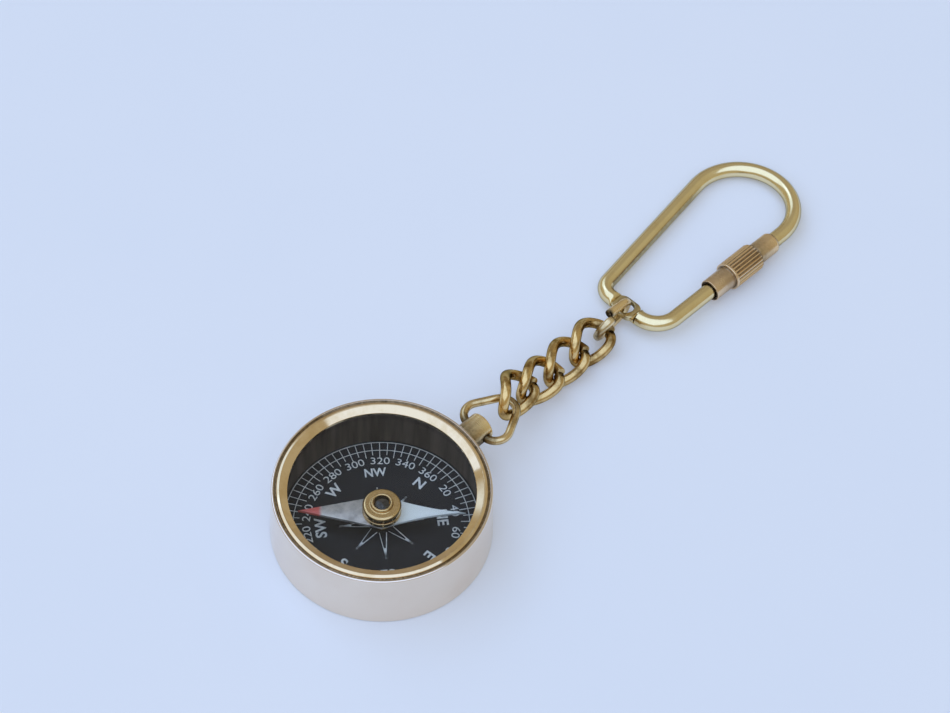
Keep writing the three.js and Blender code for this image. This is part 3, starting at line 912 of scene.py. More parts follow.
@dataclass
class Studio:
    """Camera, table and light."""

    lens: float = 98.53
    sensor: float = 36.0
    distance: float = 465.46
    elevation: float = 52.973
    roll: float = 3.602
    target: tuple[float, float, float] = (14.071, 37.415, 0.0)
    chain_azimuth: float = 47.5
    table: Colour = colour(246, 248, 253)
    table_shade: Colour = colour(243, 246, 252)
    table_glow: Colour = colour(203, 217, 245)
    table_size: float = 12.0
    table_drop: float = 0.00002
    glow_seen: float = 0.16
    glow_mirrored: float = 0.1
    lamp_height: float = 3.0
    lamp_size: tuple[float, float] = (6.0, 7.2)
    lamp_side: float = -2.1
    lamp_level: float = 1.21
    lamp_tone: tuple[float, float, float] = (0.39, 0.585, 1.0)
    ceiling: Colour = (0.45, 0.42, 0.32, 1.0)
    walls: Colour = (0.43, 0.39, 0.29, 1.0)
    far_wall: Patch = Patch(0.0, 8.0, (0.33, 0.30, 0.25, 1.0), 0.86, 0.97)
    far_ceiling: Patch = Patch(0.0, 53.0, (0.37, 0.34, 0.27, 1.0), 0.88, 0.97)
    side_window: Patch = Patch(38.0, 38.0, (0.85, 1.06, 1.4, 1.0), 0.951, 0.978)
    far_azimuth: float = 42.5

    def build(self) -> None:
        """Sets up the camera, the table, the lamp and the room."""
        self.build_camera()
        self.build_table()
        self.build_lamp()
        self.build_room()
        bpy.context.scene.view_settings.view_transform = "Standard"

    def build_camera(self) -> None:
        """Looks down at the object as the photograph does."""
        tilt = math.radians(self.elevation)
        spin = math.radians(self.roll)
        forward = Vector((0.0, math.cos(tilt), -math.sin(tilt)))
        right = Vector((1.0, 0.0, 0.0))
        above = Vector((0.0, math.sin(tilt), math.cos(tilt)))
        across = right * math.cos(spin) + above * math.sin(spin)
        upward = above * math.cos(spin) - right * math.sin(spin)
        at = (Vector(self.target) - forward * self.distance) * MM
        lens = bpy.data.cameras.new("camera")
        lens.sensor_fit = "HORIZONTAL"
        lens.sensor_width = self.sensor
        lens.lens = self.lens
        lens.clip_start = 0.01
        camera = placed("camera", lens)
        camera.matrix_world = spun(-self.chain_azimuth, "Z") @ framed(across, upward, -forward, at)
        bpy.context.scene.camera = camera

    def build_table(self) -> None:
        """Lays a pale sheet under the object."""
        material, sketch = open_material("table_pale_paper")
        cloud = sketch.step(sketch.noise(sketch.place(), 9.0), 0.3, 0.7)
        tone = sketch.mix(cloud, self.table, self.table_shade)
        look = {"Base Color": tone, "Roughness": 0.9, "Specular IOR Level": 0.1}
        paper = sketch.node("ShaderNodeBsdfPrincipled", look).outputs[0]
        glow = sketch.node("ShaderNodeEmission", {"Color": self.table_glow, "Strength": 1.0}).outputs[0]
        path = sketch.node("ShaderNodeLightPath").outputs
        seen = sketch.math("MULTIPLY", path["Is Camera Ray"], self.glow_seen)
        mirrored = sketch.math("MAXIMUM", path["Is Glossy Ray"], path["Is Transmission Ray"])
        share = sketch.math("MAXIMUM", seen, sketch.math("MULTIPLY", mirrored, self.glow_mirrored))
        sketch.show(sketch.node("ShaderNodeMixShader", {0: share, 1: paper, 2: glow}))
        bm = bmesh.new()
        bmesh.ops.create_grid(bm, x_segments=2, y_segments=2, size=self.table_size)
        bmesh.ops.translate(bm, vec=(0.0, 0.0, -self.table_drop), verts=bm.verts[:])
        mesh = meshed("table", bm)
        mesh.materials.append(material)
        table = placed("table", mesh)

    def build_lamp(self) -> None:
        """Hangs one wide soft lamp over the near side of the table."""
        light = bpy.data.lights.new("window", "AREA")
        light.shape = "RECTANGLE"
        light.size, light.size_y = self.lamp_size
        light.energy = math.pi * self.lamp_level * light.size * light.size_y
        light.color = self.lamp_tone
        placed("window", light).location = (self.lamp_side, 0.0, self.lamp_height)

    def build_room(self) -> None:
        """Gives the room a soft warm tone, a dim wall behind the table and a window beside it."""
        world = bpy.data.worlds.new("room")
        world.use_nodes = True
        sketch = Sketch(world.node_tree)
        direction = sketch.node("ShaderNodeTexCoord").outputs["Generated"]
        height = sketch.node("ShaderNodeSeparateXYZ", {0: direction}).outputs["Z"]
        tone = sketch.mix(sketch.step(height, 0.25, 0.75), self.walls, self.ceiling)
        for patch in (self.far_wall, self.far_ceiling, self.side_window):
            facing = sketch.vector("DOT_PRODUCT", direction, patch.direction(self.far_azimuth))["Value"]
            tone = sketch.mix(sketch.step(facing, patch.low, patch.high), tone, patch.light)
        shown = sketch.node("ShaderNodeBackground", {"Color": tone, "Strength": 1.0})
        sketch.show(shown, "ShaderNodeOutputWorld")
        bpy.context.scene.world = world


@dataclass
class CompassCase:
    """The turned cup, the bevelled bezel and the glass under it."""

    finishes: Finishes
    radius: float = 19.0
    rim: float = 18.55
    height: float = 11.6
    bore: float = 17.6
    floor: float = 0.5
    seat_radius: float = 18.13
    seat: float = 9.6
    bezel_outer: float = 18.01
    opening: float = 15.81
    glass_top: float = 10.6
    bevel_foot: float = 11.03
    bevel_outer: float = 17.06
    bevel_top: float = 11.68
    crest: float = 11.8
    crest_inner: float = 17.14
    crest_outer: float = 17.62
    crest_low: float = 11.62
    groove: float = 11.28
    groove_inner: float = 17.76
    groove_outer: float = 18.1
    # Where the painted shade in the bezel's groove starts, outward and downward.
    dirt_inner: float = 17.64
    dirt_top: float = 11.57

    def build(self) -> None:
        """Builds the cup, the bezel and the crystal."""
        cup = turned(
            [
                (0.0, 0.0), (self.radius, 0.0), (self.rim, self.height), (self.seat_radius, self.height),
                (self.seat_radius, self.seat), (self.bore, self.seat), (self.bore, self.floor),
                (0.0, self.floor),
            ],
            {1: 0.35, 2: 0.25, 3: 0.04}, 256,
        )
        finish_piece("case_wall", cup, self.finishes.wall, Rider.CASE, ["case_cup"])
        bezel = turned(
            [
                (self.opening, self.glass_top), (self.bezel_outer, self.glass_top),
                (self.groove_outer, self.groove), (self.groove_inner, self.groove),
                (self.crest_outer, self.crest_low), (self.crest_inner, self.crest),
                (self.bevel_outer, self.bevel_top), (self.opening, self.bevel_foot),
            ],
            {3: 0.06, 4: 0.07, 5: 0.05, 7: 0.06}, 256,
        )
        # Painted shade in the groove between the crest and the case's rim.
        painted(bezel, self.bezel_grime)
        finish_piece("bezel_bevel", bezel, self.finishes.bezel, Rider.CASE, ["bezel_ring"])
        glass = tube(0.0, self.bezel_outer, self.seat, self.glass_top, 128, {1: 0.08, 2: 0.08})
        finish_piece("crystal_disc", glass, self.finishes.glass, Rider.CASE, ["crystal"])

    def bezel_grime(self, p: Vector) -> float:
        """Painted shade in the groove between the crest and the case's rim, darker lower down."""
        return 2.6 * (self.dirt_top - p.z) if p.xy.length > self.dirt_inner else 0.0


@dataclass(frozen=True)
class Mark:
    """One number or letter of the dial."""

    text: str
    bearing: float
    radius: float
    size: float
    weight: float
    wide: float
    high: float


@dataclass
class CompassDial:
    """The black card with its printed scale, and the dark wall round it."""

    finishes: Finishes
    radius: float = 17.48
    low: float = 0.5
    top: float = 0.8
    hole: float = 0.92
    ink: float = 0.03
    north: float = 7.9
    scale_outer: float = 16.63
    scale_middle: float = 15.0
    line: float = 0.13
    tick_short: float = 14.0
    tick_long: float = 13.5
    number_radius: float = 12.69
    number_size: float = 2.15
    number_weight: float = -0.004
    letter_radius: float = 10.3
    letter_size: float = 2.62
    letter_weight: float = 0.06
    letters: tuple[str, ...] = ("N", "NE", "E", "SE", "S", "SW", "W", "NW")
    rose_long: float = 7.25
    rose_short: float = 6.8
    rose_foot: float = 2.0
    rose_half: float = 0.62
    rose_bold: float = 0.15
    rose_fine: float = 0.1
    spine_foot: float = 5.15
    spine: float = 0.27
    wall: float = 0.45
    wall_top: float = 9.48

    def build(self) -> None:
        """Builds the card, its print and the wall."""
        card = tube(self.hole, self.radius, self.low, self.top, 128)
        finish_piece("dial_disc", card, self.finishes.dial, Rider.CASE, ["dial_card"])
        liner = tube(self.radius - self.wall, self.radius, self.top, self.wall_top, 192, {3: 0.1})
        finish_piece("liner_wall", liner, self.finishes.liner, Rider.CASE, ["liner_ring"])
        finish_piece("dial_scale", self.build_scale(), self.finishes.ink, Rider.CASE)
        finish_piece("dial_marks", self.build_words(), self.finishes.ink, Rider.CASE)

    def at(self, bearing: float, radius: float, aside: float = 0.0) -> Vector:
        """A point on the card.

        Args:
            bearing: Bearing in degrees.
            radius: Distance from the middle.
            aside: Distance to the side of the bearing's line.

        Returns:
            The point.
        """
        angle = math.radians(self.north - bearing)
        out = Vector((math.cos(angle), math.sin(angle), 0.0))
        return out * radius + Vector((-out.y, out.x, 0.0)) * aside

    def bar(self, bm: Body, start: Vector, end: Vector, width: float) -> None:
        """Lays one thin printed line on the card.

        Args:
            bm: The print.
            start: One end.
            end: The other end.
            width: The line's width.
        """
        run = end - start
        place = Matrix.Translation(((start.x + end.x) / 2, (start.y + end.y) / 2, self.top + self.ink / 2))
        turn = Matrix.Rotation(math.atan2(run.y, run.x), 4, "Z")
        size = Matrix.Diagonal((run.length, width, self.ink, 1.0))
        bmesh.ops.create_cube(bm, size=1.0, matrix=place @ turn @ size)

    def build_scale(self) -> Body:
        """Prints the two circles, the ticks and the rose.

        Returns:
            The print.
        """
        scale = bmesh.new()
        for radius in (self.scale_outer, self.scale_middle):
            inner, outer = radius - self.line / 2, radius + self.line / 2
            absorb(scale, meshed("circle", tube(inner, outer, self.top, self.top + self.ink, 160)))
        for bearing in range(0, 360, 5):
            inner = self.tick_long if bearing % 10 == 0 else self.tick_short
            self.bar(scale, self.at(bearing, inner), self.at(bearing, self.scale_outer), self.line)
        for point in range(8):
            bearing = 45.0 * point
            tip = self.at(bearing, self.rose_long if point % 2 else self.rose_short)
            for aside, width in ((self.rose_half, self.rose_bold), (-self.rose_half, self.rose_fine)):
                self.bar(scale, self.at(bearing, self.rose_foot, aside), tip, width)
            self.bar(scale, self.at(bearing, self.spine_foot), tip, self.spine)
        return scale

    def build_words(self) -> Body:
        """Prints the numbers and the letters, tops outward.

        Returns:
            The print.
        """
        marks = [
            Mark(str(bearing), bearing, self.number_radius, self.number_size, self.number_weight, 1.1, 0.93)
            for bearing in range(20, 361, 20)
        ]
        for number, name in enumerate(self.letters):
            shape = (0.8, 0.9) if name == "NW" else (1.0, 1.0)
            place = (45.0 * number, self.letter_radius)
            marks.append(Mark(name, *place, self.letter_size, self.letter_weight, *shape))
        bm = bmesh.new()
        for mark in marks:
            mesh = self.written(mark)
            spot = self.at(mark.bearing, mark.radius)
            turn = spun(self.north - mark.bearing - 90.0, "Z")
            size = Matrix.Diagonal((mark.wide, mark.high, 1.0, 1.0))
            mesh.transform(Matrix.Translation((spot.x, spot.y, self.top + self.ink / 2)) @ turn @ size)
            absorb(bm, mesh)
        return bm

    def written(self, mark: Mark) -> bpy.types.Mesh:
        """Writes one mark as a thin solid.

        Args:
            mark: What it says, its size and its weight.

        Returns:
            Its mesh, centred.
        """
        curve = bpy.data.curves.new("mark", "FONT")
        curve.body = mark.text
        curve.size = mark.size
        curve.offset = mark.weight
        curve.extrude = self.ink / 2
        curve.align_x = "CENTER"
        curve.align_y = "CENTER"
        holder = placed("mark", curve)
        mesh = evaluated(holder)
        bpy.data.objects.remove(holder)
        bpy.data.curves.remove(curve)
        return mesh


@dataclass
class NeedleAndPivot:
    """The needle on its turned hub, and the post and pin that carry it."""

    finishes: Finishes
    length: float = 14.2
    half_width: float = 3.3
    north_waist: float = 0.1
    south_waist: float = 1.1
    side_steps: int = 14
    low: float = 3.8
    top: float = 4.3
    heading: float = 136.0
    hub: float = 3.3
    bore: float = 0.9
    spigot: float = 1.45
    seat_gap: float = 0.12
    groove: float = 2.95
    groove_low: float = 5.1
    groove_top: float = 5.4
    dirt_outer: float = 3.2
    flange_top: float = 6.55
    ring_inner: float = 1.42
    ring_outer: float = 1.88
    ring_top: float = 7.15
    jewel: tuple[Point, ...] = ((0.0, 5.7), (0.45, 5.4), (1.3, 5.4), (1.3, 6.5), (0.78, 6.775), (0.0, 6.885))
    floor: float = 0.5
    dial_top: float = 0.8
    bush_foot: float = 0.8
    bush_flange: float = 1.6
    bush_shoulder: float = 1.2
    bush_neck: float = 0.75
    neck_foot: float = 1.4
    bush_top: float = 2.9
    bush_bore: float = 0.47
    socket: float = 1.6
    pin: float = 0.35
    pin_shoulder: float = 4.93
    pin_tip: float = 5.58

    def build(self) -> None:
        """Builds the needle, the hub, the jewel, the post and the pin."""
        looks = self.finishes
        finish_piece("needle_blade", self.build_blade(), looks.needle, Rider.NEEDLE, ["needle"])
        finish_piece("needle_hub", self.build_hub(), looks.hub, Rider.NEEDLE, ["needle_cap"])
        jewel = turned(self.jewel, {3: 0.2, 4: 0.3}, 64)
        finish_piece("hub_jewel", jewel, looks.jewel, Rider.NEEDLE, ["jewel"])
        bush = turned(
            [
                (0.0, self.floor), (self.bush_foot, self.floor), (self.bush_foot, self.dial_top),
                (self.bush_flange, self.dial_top), (self.bush_flange, self.bush_shoulder),
                (self.bush_neck, self.neck_foot), (self.bush_neck, self.bush_top),
                (self.bush_bore, self.bush_top), (self.bush_bore, self.socket), (0.0, self.socket),
            ],
            {4: 0.12, 6: 0.1}, 64,
        )
        finish_piece("pivot_post", bush, looks.hub, Rider.CASE, ["pivot_bush"])
        foot, shoulder = (self.pin, self.socket), (self.pin, self.pin_shoulder)
        profile = [(0.0, self.socket), foot, shoulder, (0.0, self.pin_tip)]
        finish_piece(
            "pivot_point", turned(profile, {2: 0.08}, 48), looks.steel, Rider.CASE, ["pivot_pin"]
        )

    def build_blade(self) -> Body:
        """Cuts the four-pointed blade with its drawn-in sides.

        Returns:
            The blade.
        """
        bm = bmesh.new()
        corners = [(self.length, 0.0), (0.0, self.half_width), (-self.length, 0.0), (0.0, -self.half_width)]
        outline = []
        for (x, y), (far_x, far_y) in zip(corners, corners[1:] + corners[:1]):
            pull_x = math.copysign(self.length / 2, x + far_x)
            waist = self.north_waist if pull_x > 0 else self.south_waist
            pull_y = math.copysign(self.half_width / 2 - waist, y + far_y)
            for step in range(self.side_steps):
                t = step / self.side_steps
                near, middle, far = (1 - t) ** 2, 2 * t * (1 - t), t * t
                along = near * x + middle * pull_x + far * far_x
                aside = near * y + middle * pull_y + far * far_y
                outline.append(bm.verts.new((along, aside, self.low)))
        bm.faces.new(outline)
        thickened(bm, self.top - self.low)
        rim = [edge for edge in bm.edges if all(vert.co.z > self.top - 1e-4 for vert in edge.verts)]
        rounded(bm, rim, 0.09, 2)
        drill = tube(0.0, self.spigot + self.seat_gap, self.low - 1, self.top + 1, 96)
        return moved(combined(outward(bm), [drill]), spun(self.heading, "Z"))

    def build_hub(self) -> Body:
        """Turns the hub: spigot, skirt, groove, flange and raised ring.

        Returns:
            The hub.
        """
        hub = turned(
            [
                (self.bore, self.low), (self.spigot, self.low), (self.spigot, self.top), (self.hub, self.top),
                (self.hub, self.groove_low), (self.groove, self.groove_low), (self.groove, self.groove_top),
                (self.hub, self.groove_top), (self.hub, self.flange_top), (self.ring_outer, self.flange_top),
                (self.ring_outer, self.ring_top), (self.ring_inner, self.ring_top),
                (self.ring_inner, self.groove_top), (self.bore, self.groove_top),
            ],
            {3: 0.08, 4: 0.16, 7: 0.2, 8: 0.5, 9: 0.2, 10: 0.22, 11: 0.2}, 96,
        )
        # Painted shade in the groove between the skirt and the flange.
        return painted(hub, self.hub_grime)

    def hub_grime(self, p: Vector) -> float:
        """Painted shade in the groove."""
        middle = (self.groove_low + self.groove_top) / 2
        return 0.9 - 6 * abs(p.z - middle) if p.xy.length < self.dirt_outer else 0.0


@dataclass
class StemAndBow:
    """The short post on the case's wall and the wire bow through it."""

    finishes: Finishes
    case_radius: float = 19.0
    case_draft: float = 0.45
    case_height: float = 11.6
    case_gap: float = 0.01
    stem: float = 2.5
    stem_root: float = 17.9
    stem_end: float = 24.0
    axis: float = 6.8
    hole_at: float = 22.3
    hole: float = 0.85
    drill_reach: float = 4.0
    wire: float = 1.45
    reach: float = 11.8
    half_span: float = 6.3
    base_round: float = 2.6
    tip_round: float = 2.7
    gap: float = 0.3

    def build(self) -> None:
        """Builds the stem and the bow."""
        post = tube(0.0, self.stem, self.stem_root, self.stem_end, 96, {2: 0.32})
        moved(post, Matrix.Translation((0.0, 0.0, self.axis)) @ spun(90.0, "Y"))
        foot = self.case_radius + self.case_gap + self.case_draft
        head = foot - 3 * self.case_draft
        low, high = -self.case_height, 2 * self.case_height
        case = turned([(0.0, low), (foot, low), (head, high), (0.0, high)], {}, 256)
        at_hole = Matrix.Translation((self.hole_at, 0.0, self.axis))
        drill = tube(0.0, self.hole, -self.drill_reach, self.drill_reach, 48)
        moved(drill, at_hole @ spun(90.0, "X"))
        # Painted shade round the cross hole and at the case's wall.
        stem = painted(combined(post, [case, drill]), self.stem_grime)
        finish_piece("stem_post", stem, self.finishes.stem, Rider.CASE, ["stem"])
        points = bent_path(
            (0.0, self.gap / 2),
            [
                Corner(0.0, self.half_span, self.base_round),
                Corner(self.reach, 0.0, self.tip_round),
                Corner(0.0, -self.half_span, self.base_round),
            ],
            (0.0, -self.gap / 2),
        )
        bow = moved(painted(swept(stations_along(points, self.wire)), self.bow_grime), at_hole)
        finish_piece("bow_wire", bow, self.finishes.bow, Rider.BOW, ["bow"])

    def stem_grime(self, p: Vector) -> float:
        """Painted shade round the cross hole and where the stem meets the case's wall.

        Args:
            p: The point.

        Returns:
            The painted shade.
        """
        round_hole = Vector((p.x - self.hole_at, p.z - self.axis)).length - self.hole
        at_wall = p.xy.length - self.case_radius
        return max(0.9 - 1.6 * round_hole, 0.7 - 2.5 * at_wall)

    def bow_grime(self, p: Vector) -> float:
        """Painted shade on the wire where it runs through the stem, and darker toward its far end, from the
        cross hole's middle.
        """
        # Painted shade where the wire runs through the stem's cross hole.
        by_stem = 0.95 - 0.45 * max(0.0, abs(p.y) - 2.4) if p.x < 1.0 else 0.0
        return max(by_stem, 0.32 * (p.x - 7.4))

    def far_end(self) -> Vector:
        """Finds the middle of the bow's far wire.

        Returns:
            The point.
        """
        slope = math.atan2(self.half_span, self.reach)
        setback = self.tip_round / math.sin(slope) - self.tip_round
        return Vector((self.hole_at + self.reach - setback, 0.0, self.axis))


@dataclass(frozen=True)
class Hang:
    """How a loop hangs from the piece before it."""

    play: float
    side: float
    lift: float
    yaw: float
    pitch: float
    roll: float

    def turn(self) -> Matrix:
        """Rotation by yaw, then pitch with the far end up, then roll with the left side up."""
        return spun(self.yaw, "Z") @ spun(-self.pitch, "Y") @ spun(self.roll, "X")

    def place(self, seat: Vector, wires: float, half_length: float) -> tuple[Matrix, Vector]:
        """Hangs a loop's near end inside the wire that carries it.

        Args:
            seat: Middle of the carrying wire's far end.
            wires: Both wires' diameters together.
            half_length: The loop's middle to its end.

        Returns:
            The loop's matrix and its own far end.
        """
        turn = self.turn()
        along = turn.to_3x3() @ Vector((half_length, 0.0, 0.0))
        middle = seat + Vector((-(wires / 2 + self.play), self.side, self.lift)) + along
        return Matrix.Translation(middle) @ turn, middle + along


@dataclass
class CurbChain:
    """Four twisted links, each cut open and closed again."""

    finishes: Finishes
    wire: float = 1.9
    drawn: float = 1.84
    inner_length: float = 7.22
    inner_width: float = 4.4
    twist: float = 1.385
    cut_at: float = -24.0
    gap: float = 0.45
    sprung: float = 0.45
    sprung_steps: int = 9
    steps: int = 110
    carrier: float = 1.45
    hangs: tuple[Hang, ...] = (
        Hang(1.025, -0.48, 1.39, 18.1, -13.3, 45.6),
        Hang(0.8, -1.58, -0.39, 4.2, -7.1, 46.4),
        Hang(0.23, -0.69, -0.47, 8.6, -0.8, 41.0),
        Hang(0.21, -1.01, -0.25, 7.6, -3.0, 38.2),
    )
    riders: tuple[Rider, ...] = (Rider.LINK_1, Rider.LINK_2, Rider.LINK_3, Rider.LINK_4)

    @property
    def half_length(self) -> float:
        """A link's middle to the middle of its wire, along it."""
        return (self.inner_length + self.wire) / 2

    @property
    def half_width(self) -> float:
        """A link's middle to the middle of its wire, across it."""
        return (self.inner_width + self.wire) / 2

    def build(self, seat: Vector) -> Vector:
        """Hangs the links one from the other.

        Args:
            seat: Middle of the bow's far wire.

        Returns:
            Middle of the last link's far wire.
        """
        carrier = self.carrier
        for number, (hang, rider) in enumerate(zip(self.hangs, self.riders), start=1):
            matrix, seat = hang.place(seat, carrier + self.wire, self.half_length)
            carrier = self.wire
            link = moved(self.build_link(), matrix)
            node = f"chain_link_{number}"
            finish_piece(f"curb_link_{number}", link, self.finishes.chain, rider, [node])
        return seat

    def on_loop(self, angle: float, height: float) -> Vector:
        """A point of the link's loop, from its middle."""
        return Vector((self.half_length * math.cos(angle), self.half_width * math.sin(angle), height))

    def build_link(self) -> Body:
        """Bends one twisted link about its own middle.

        Returns:
            The link.
        """
        start = math.radians(self.cut_at)
        opening = self.gap / math.hypot(self.half_length * math.cos(start), self.half_width * math.sin(start))
        points = []
        for step in range(self.steps + 1):
            angle = start + opening / 2 + (FULL_TURN - opening) * step / self.steps
            from_start = max(0.0, 1.0 - step / self.sprung_steps)
            from_end = max(0.0, 1.0 - (self.steps - step) / self.sprung_steps)
            spring = self.sprung * (from_start**2 - from_end**2)
            points.append(self.on_loop(angle, -self.twist * math.sin(2 * angle) + spring))
        return painted(swept(stations_along(points, self.drawn)), self.link_grime)

    def link_grime(self, p: Vector) -> float:
        """Dirt in the bends that rub on the next link, and at the cut.

        Args:
            p: The point, from the link's middle.

        Returns:
            The grime.
        """
        inside = 1.0 - math.hypot(p.x / self.half_length, p.y / self.half_width)
        bend = max(0.0, abs(p.x) / self.half_length - 0.45)
        at_cut = 1.0 - (p - self.on_loop(math.radians(self.cut_at), 0.0)).xy.length / 0.9
        return max(5.6 * inside * bend + 0.12, 1.8 * at_cut)


@dataclass
class JumpRing:
    """The long wire ring between the last link and the hoop's eye."""

    finishes: Finishes
    wire: float = 1.6
    inner_length: float = 7.3
    inner_height: float = 3.0
    cut_at: float = -1.6
    skew: float = 1.2
    gap: float = 0.3
    flat: float = 0.001
    carrier: float = 1.9
    hang: Hang = Hang(0.4, -0.3, 0.5, 5.5, -6.0, 12.0)

    @property
    def half_length(self) -> float:
        """The ring's middle to the middle of its wire, along it."""
        return (self.inner_length + self.wire) / 2

    def build(self, seat: Vector) -> Vector:
        """Bends the ring and hangs it.

        Args:
            seat: Middle of the last link's far wire.

        Returns:
            Middle of the ring's far end.
        """
        length = self.half_length
        height = (self.inner_height + self.wire) / 2
        ends = ((-length, height), (-length, -height), (length, -height), (length, height))
        points = bent_path(
            (self.cut_at - self.gap / 2, height),
            [Corner(x, y, height - self.flat) for x, y in ends],
            (self.cut_at + self.gap / 2, height),
            0.3,
        )
        total = sum((after - before).length for before, after in zip(points, points[1:]))
        gone = 0.0
        for number, point in enumerate(points):
            gone += (point - points[number - 1]).xy.length if number else 0.0
            point.z = self.skew * (0.5 - gone / total)
        ring = moved(painted(swept(stations_along(points, self.wire)), self.ring_grime), spun(90.0, "X"))
        matrix, far = self.hang.place(seat, self.carrier + self.wire, length)
        moved(ring, matrix)
        finish_piece("jump_wire", ring, self.finishes.ring, Rider.RING, ["jump_ring"])
        return far

    def ring_grime(self, p: Vector) -> float:
        """Dirt at the cut and on both ends, from the ring's middle.

        Args:
            p: The point.

        Returns:
            The grime.
        """
        at_cut = 1.8 - 2.4 * abs(p.x - self.cut_at) if p.y > 0 else 0.0
        along = p.x / self.half_length
        return max(at_cut, -0.8 * along - 0.35, 0.5 * (along - 0.8))


@dataclass
class KeyHoop:
    """The lopsided hoop with its flattened eye, and the screw lock on its right leg."""

    finishes: Finishes
    wire: float = 2.9
    wire_sides: int = 32
    arc: float = 9.8
    arc_reach: float = 33.5
    arc_side: float = 1.95
    arc_steps: int = 64
    splay: float = 9.45
    left_round: float = 3.0
    right_round: float = 4.6
    tail: float = 1.0
    tilt: Hang = Hang(-0.25, 0.0, -0.28, 0.0, -0.5, -3.4)
    eye_length: float = 5.6
    eye_width: float = 3.9
    eye_thickness: float = 1.1
    eye_round: float = 1.7
    eye_hole: float = 1.5
    drill_reach: float = 2.0
    neck: float = 0.5
    shoulders: tuple[tuple[float, float, float], ...] = (
        (0.3, 1.5, 1.42), (0.05, 1.58, 1.3), (-0.2, 1.68, 1.0), (-0.42, 1.7, 0.62),
    )
    mouth: float = 13.9
    skirt: float = 4.8
    skirt_radius: float = 2.1
    bore_gap: float = 0.2
    knurl: float = 7.4
    knurl_radius: float = 2.7
    knurl_chamfer: tuple[float, float] = (0.25, 0.1)
    ridges: int = 24
    ridge_depth: float = 0.28
    ridge_inset: float = 0.02
    ridge_shape: tuple[float, ...] = (1.0, 1.0, 1.0, 0.955, 0.905, 0.885, 0.905, 0.955)
    ridge_slope: float = 0.35
    ridge_end: float = 0.93
    lip: float = 0.5
    thread: float = 3.0
    thread_radius: float = 1.85
    thread_gap: float = 0.1
    thread_depth: float = 0.16
    thread_turns: int = 7
    ferrule: float = 5.0
    ferrule_radius: float = 2.05
    ferrule_gap: float = 0.12
    ferrule_tip: float = 1.75
    taper: float = 0.5
    socket: float = 4.0
    socket_gap: float = 0.02
    gate: float = 4.0

    @property
    def side(self) -> float:
        """Where the right leg runs beside the eye's middle."""
        return self.arc_side - self.arc

    @property
    def slope(self) -> float:
        """The left leg's splay in radians."""
        return math.radians(self.splay)

    @property
    def left(self) -> float:
        """Where the left leg's line crosses the eye's line."""
        return self.arc_side + (self.arc - self.arc_reach * math.sin(self.slope)) / math.cos(self.slope)

    @property
    def knurl_start(self) -> float:
        """Where the sleeve's skirt meets its knurl, along the leg."""
        return self.mouth + self.skirt

    @property
    def lock_face(self) -> float:
        """Where the closed sleeve meets the ferrule, along the leg."""
        return self.knurl_start + self.knurl

    def build(self, ring_end: Vector) -> None:
        """Lays the hoop from the ring's far end.

        Args:
            ring_end: Middle of the jump ring's far end.
        """
        looks = self.finishes
        eye = ring_end + Vector((self.tilt.play, self.tilt.side, self.tilt.lift))
        place = Matrix.Translation(eye) @ self.tilt.turn()
        leg = place @ (Matrix.Translation((0.0, self.side, 0.0)) @ spun(90.0, "Y"))
        hoop = moved(self.build_hoop(), place)
        finish_piece("hoop_bent_wire", hoop, looks.hoop, Rider.HOOP, ["hoop_wire"])
        sleeve = moved(self.build_sleeve(), leg)
        finish_piece("lock_knurl", sleeve, looks.lock, Rider.SLEEVE, ["lock_sleeve"], 28.0)
        ferrule = moved(self.build_ferrule(), leg)
        finish_piece("lock_ferrule", ferrule, looks.ferrule, Rider.HOOP, ["thread_ferrule"])

    def build_hoop(self) -> Body:
        """Bends the wire both ways from the eye and flattens the eye between.

        Returns:
            The hoop about its eye.
        """
        side = self.side
        begin = self.lock_face + self.tail
        neck = self.eye_length / 2 + self.neck
        points = [Vector((begin, side, 0.0)), Vector(((begin + self.arc_reach) / 2, side, 0.0))]
        for step in range(self.arc_steps + 1):
            angle = -math.pi / 2 + (math.pi + self.slope) * step / self.arc_steps
            x = self.arc_reach + self.arc * math.cos(angle)
            points.append(Vector((x, self.arc_side + self.arc * math.sin(angle), 0.0)))
        last = points.pop()
        points += bent_path((last.x, last.y), [Corner(0.0, self.left, self.left_round)], (0.0, neck))
        upper = stations_along(points, self.wire) + self.shoulder(1.0)
        lower_end = (self.lock_face - self.thread - self.gate, side)
        points = bent_path((0.0, -neck), [Corner(0.0, side, self.right_round)], lower_end)
        lower = self.shoulder(-1.0)[::-1] + stations_along(points, self.wire)
        tools = [swept(lower, self.wire_sides), self.build_eye()]
        return painted(combined(swept(upper, self.wire_sides), tools, Joining.FUSE), self.hoop_grime)

    def hoop_grime(self, p: Vector) -> float:
        """Dirt and painted shade round the eye, and a painted reflection of the shaded table as a brown line
        along the left leg's inner flank.

        Args:
            p: The point, from the eye's middle.

        Returns:
            The darkening.
        """
        # Dirt and painted shade round the eye, where the ring runs through it.
        if abs(p.x) < 2.2:
            return 0.68 - 0.36 * max(0.0, abs(p.y) - 1.0)
        # Painted reflection of the shaded table, low on the left leg's inner flank.
        inward = (self.left + p.x * math.tan(self.slope) - p.y) * math.cos(self.slope)
        if p.x > self.arc_reach or abs(inward) > self.wire:
            return 0.0
        rise = math.degrees(math.atan2(p.z, inward))
        fade = min(0.62, max(0.0, (self.arc_reach - 1.5 - p.x) / 7.0))
        return fade * max(0.0, 1.0 - ((rise - 20.0) / 26.0) ** 2)

    def shoulder(self, sense: float) -> list[Station]:
        """Sections where the round wire flattens into the eye.

        Args:
            sense: 1 on the left leg's side, -1 on the right.

        Returns:
            The sections from the wire to the eye.
        """
        along = Vector((0.0, -1.0, 0.0))
        half = self.eye_length / 2
        return [
            Station(Vector((0.0, sense * (half + back), 0.0)), along, wide, high)
            for back, wide, high in self.shoulders
        ]

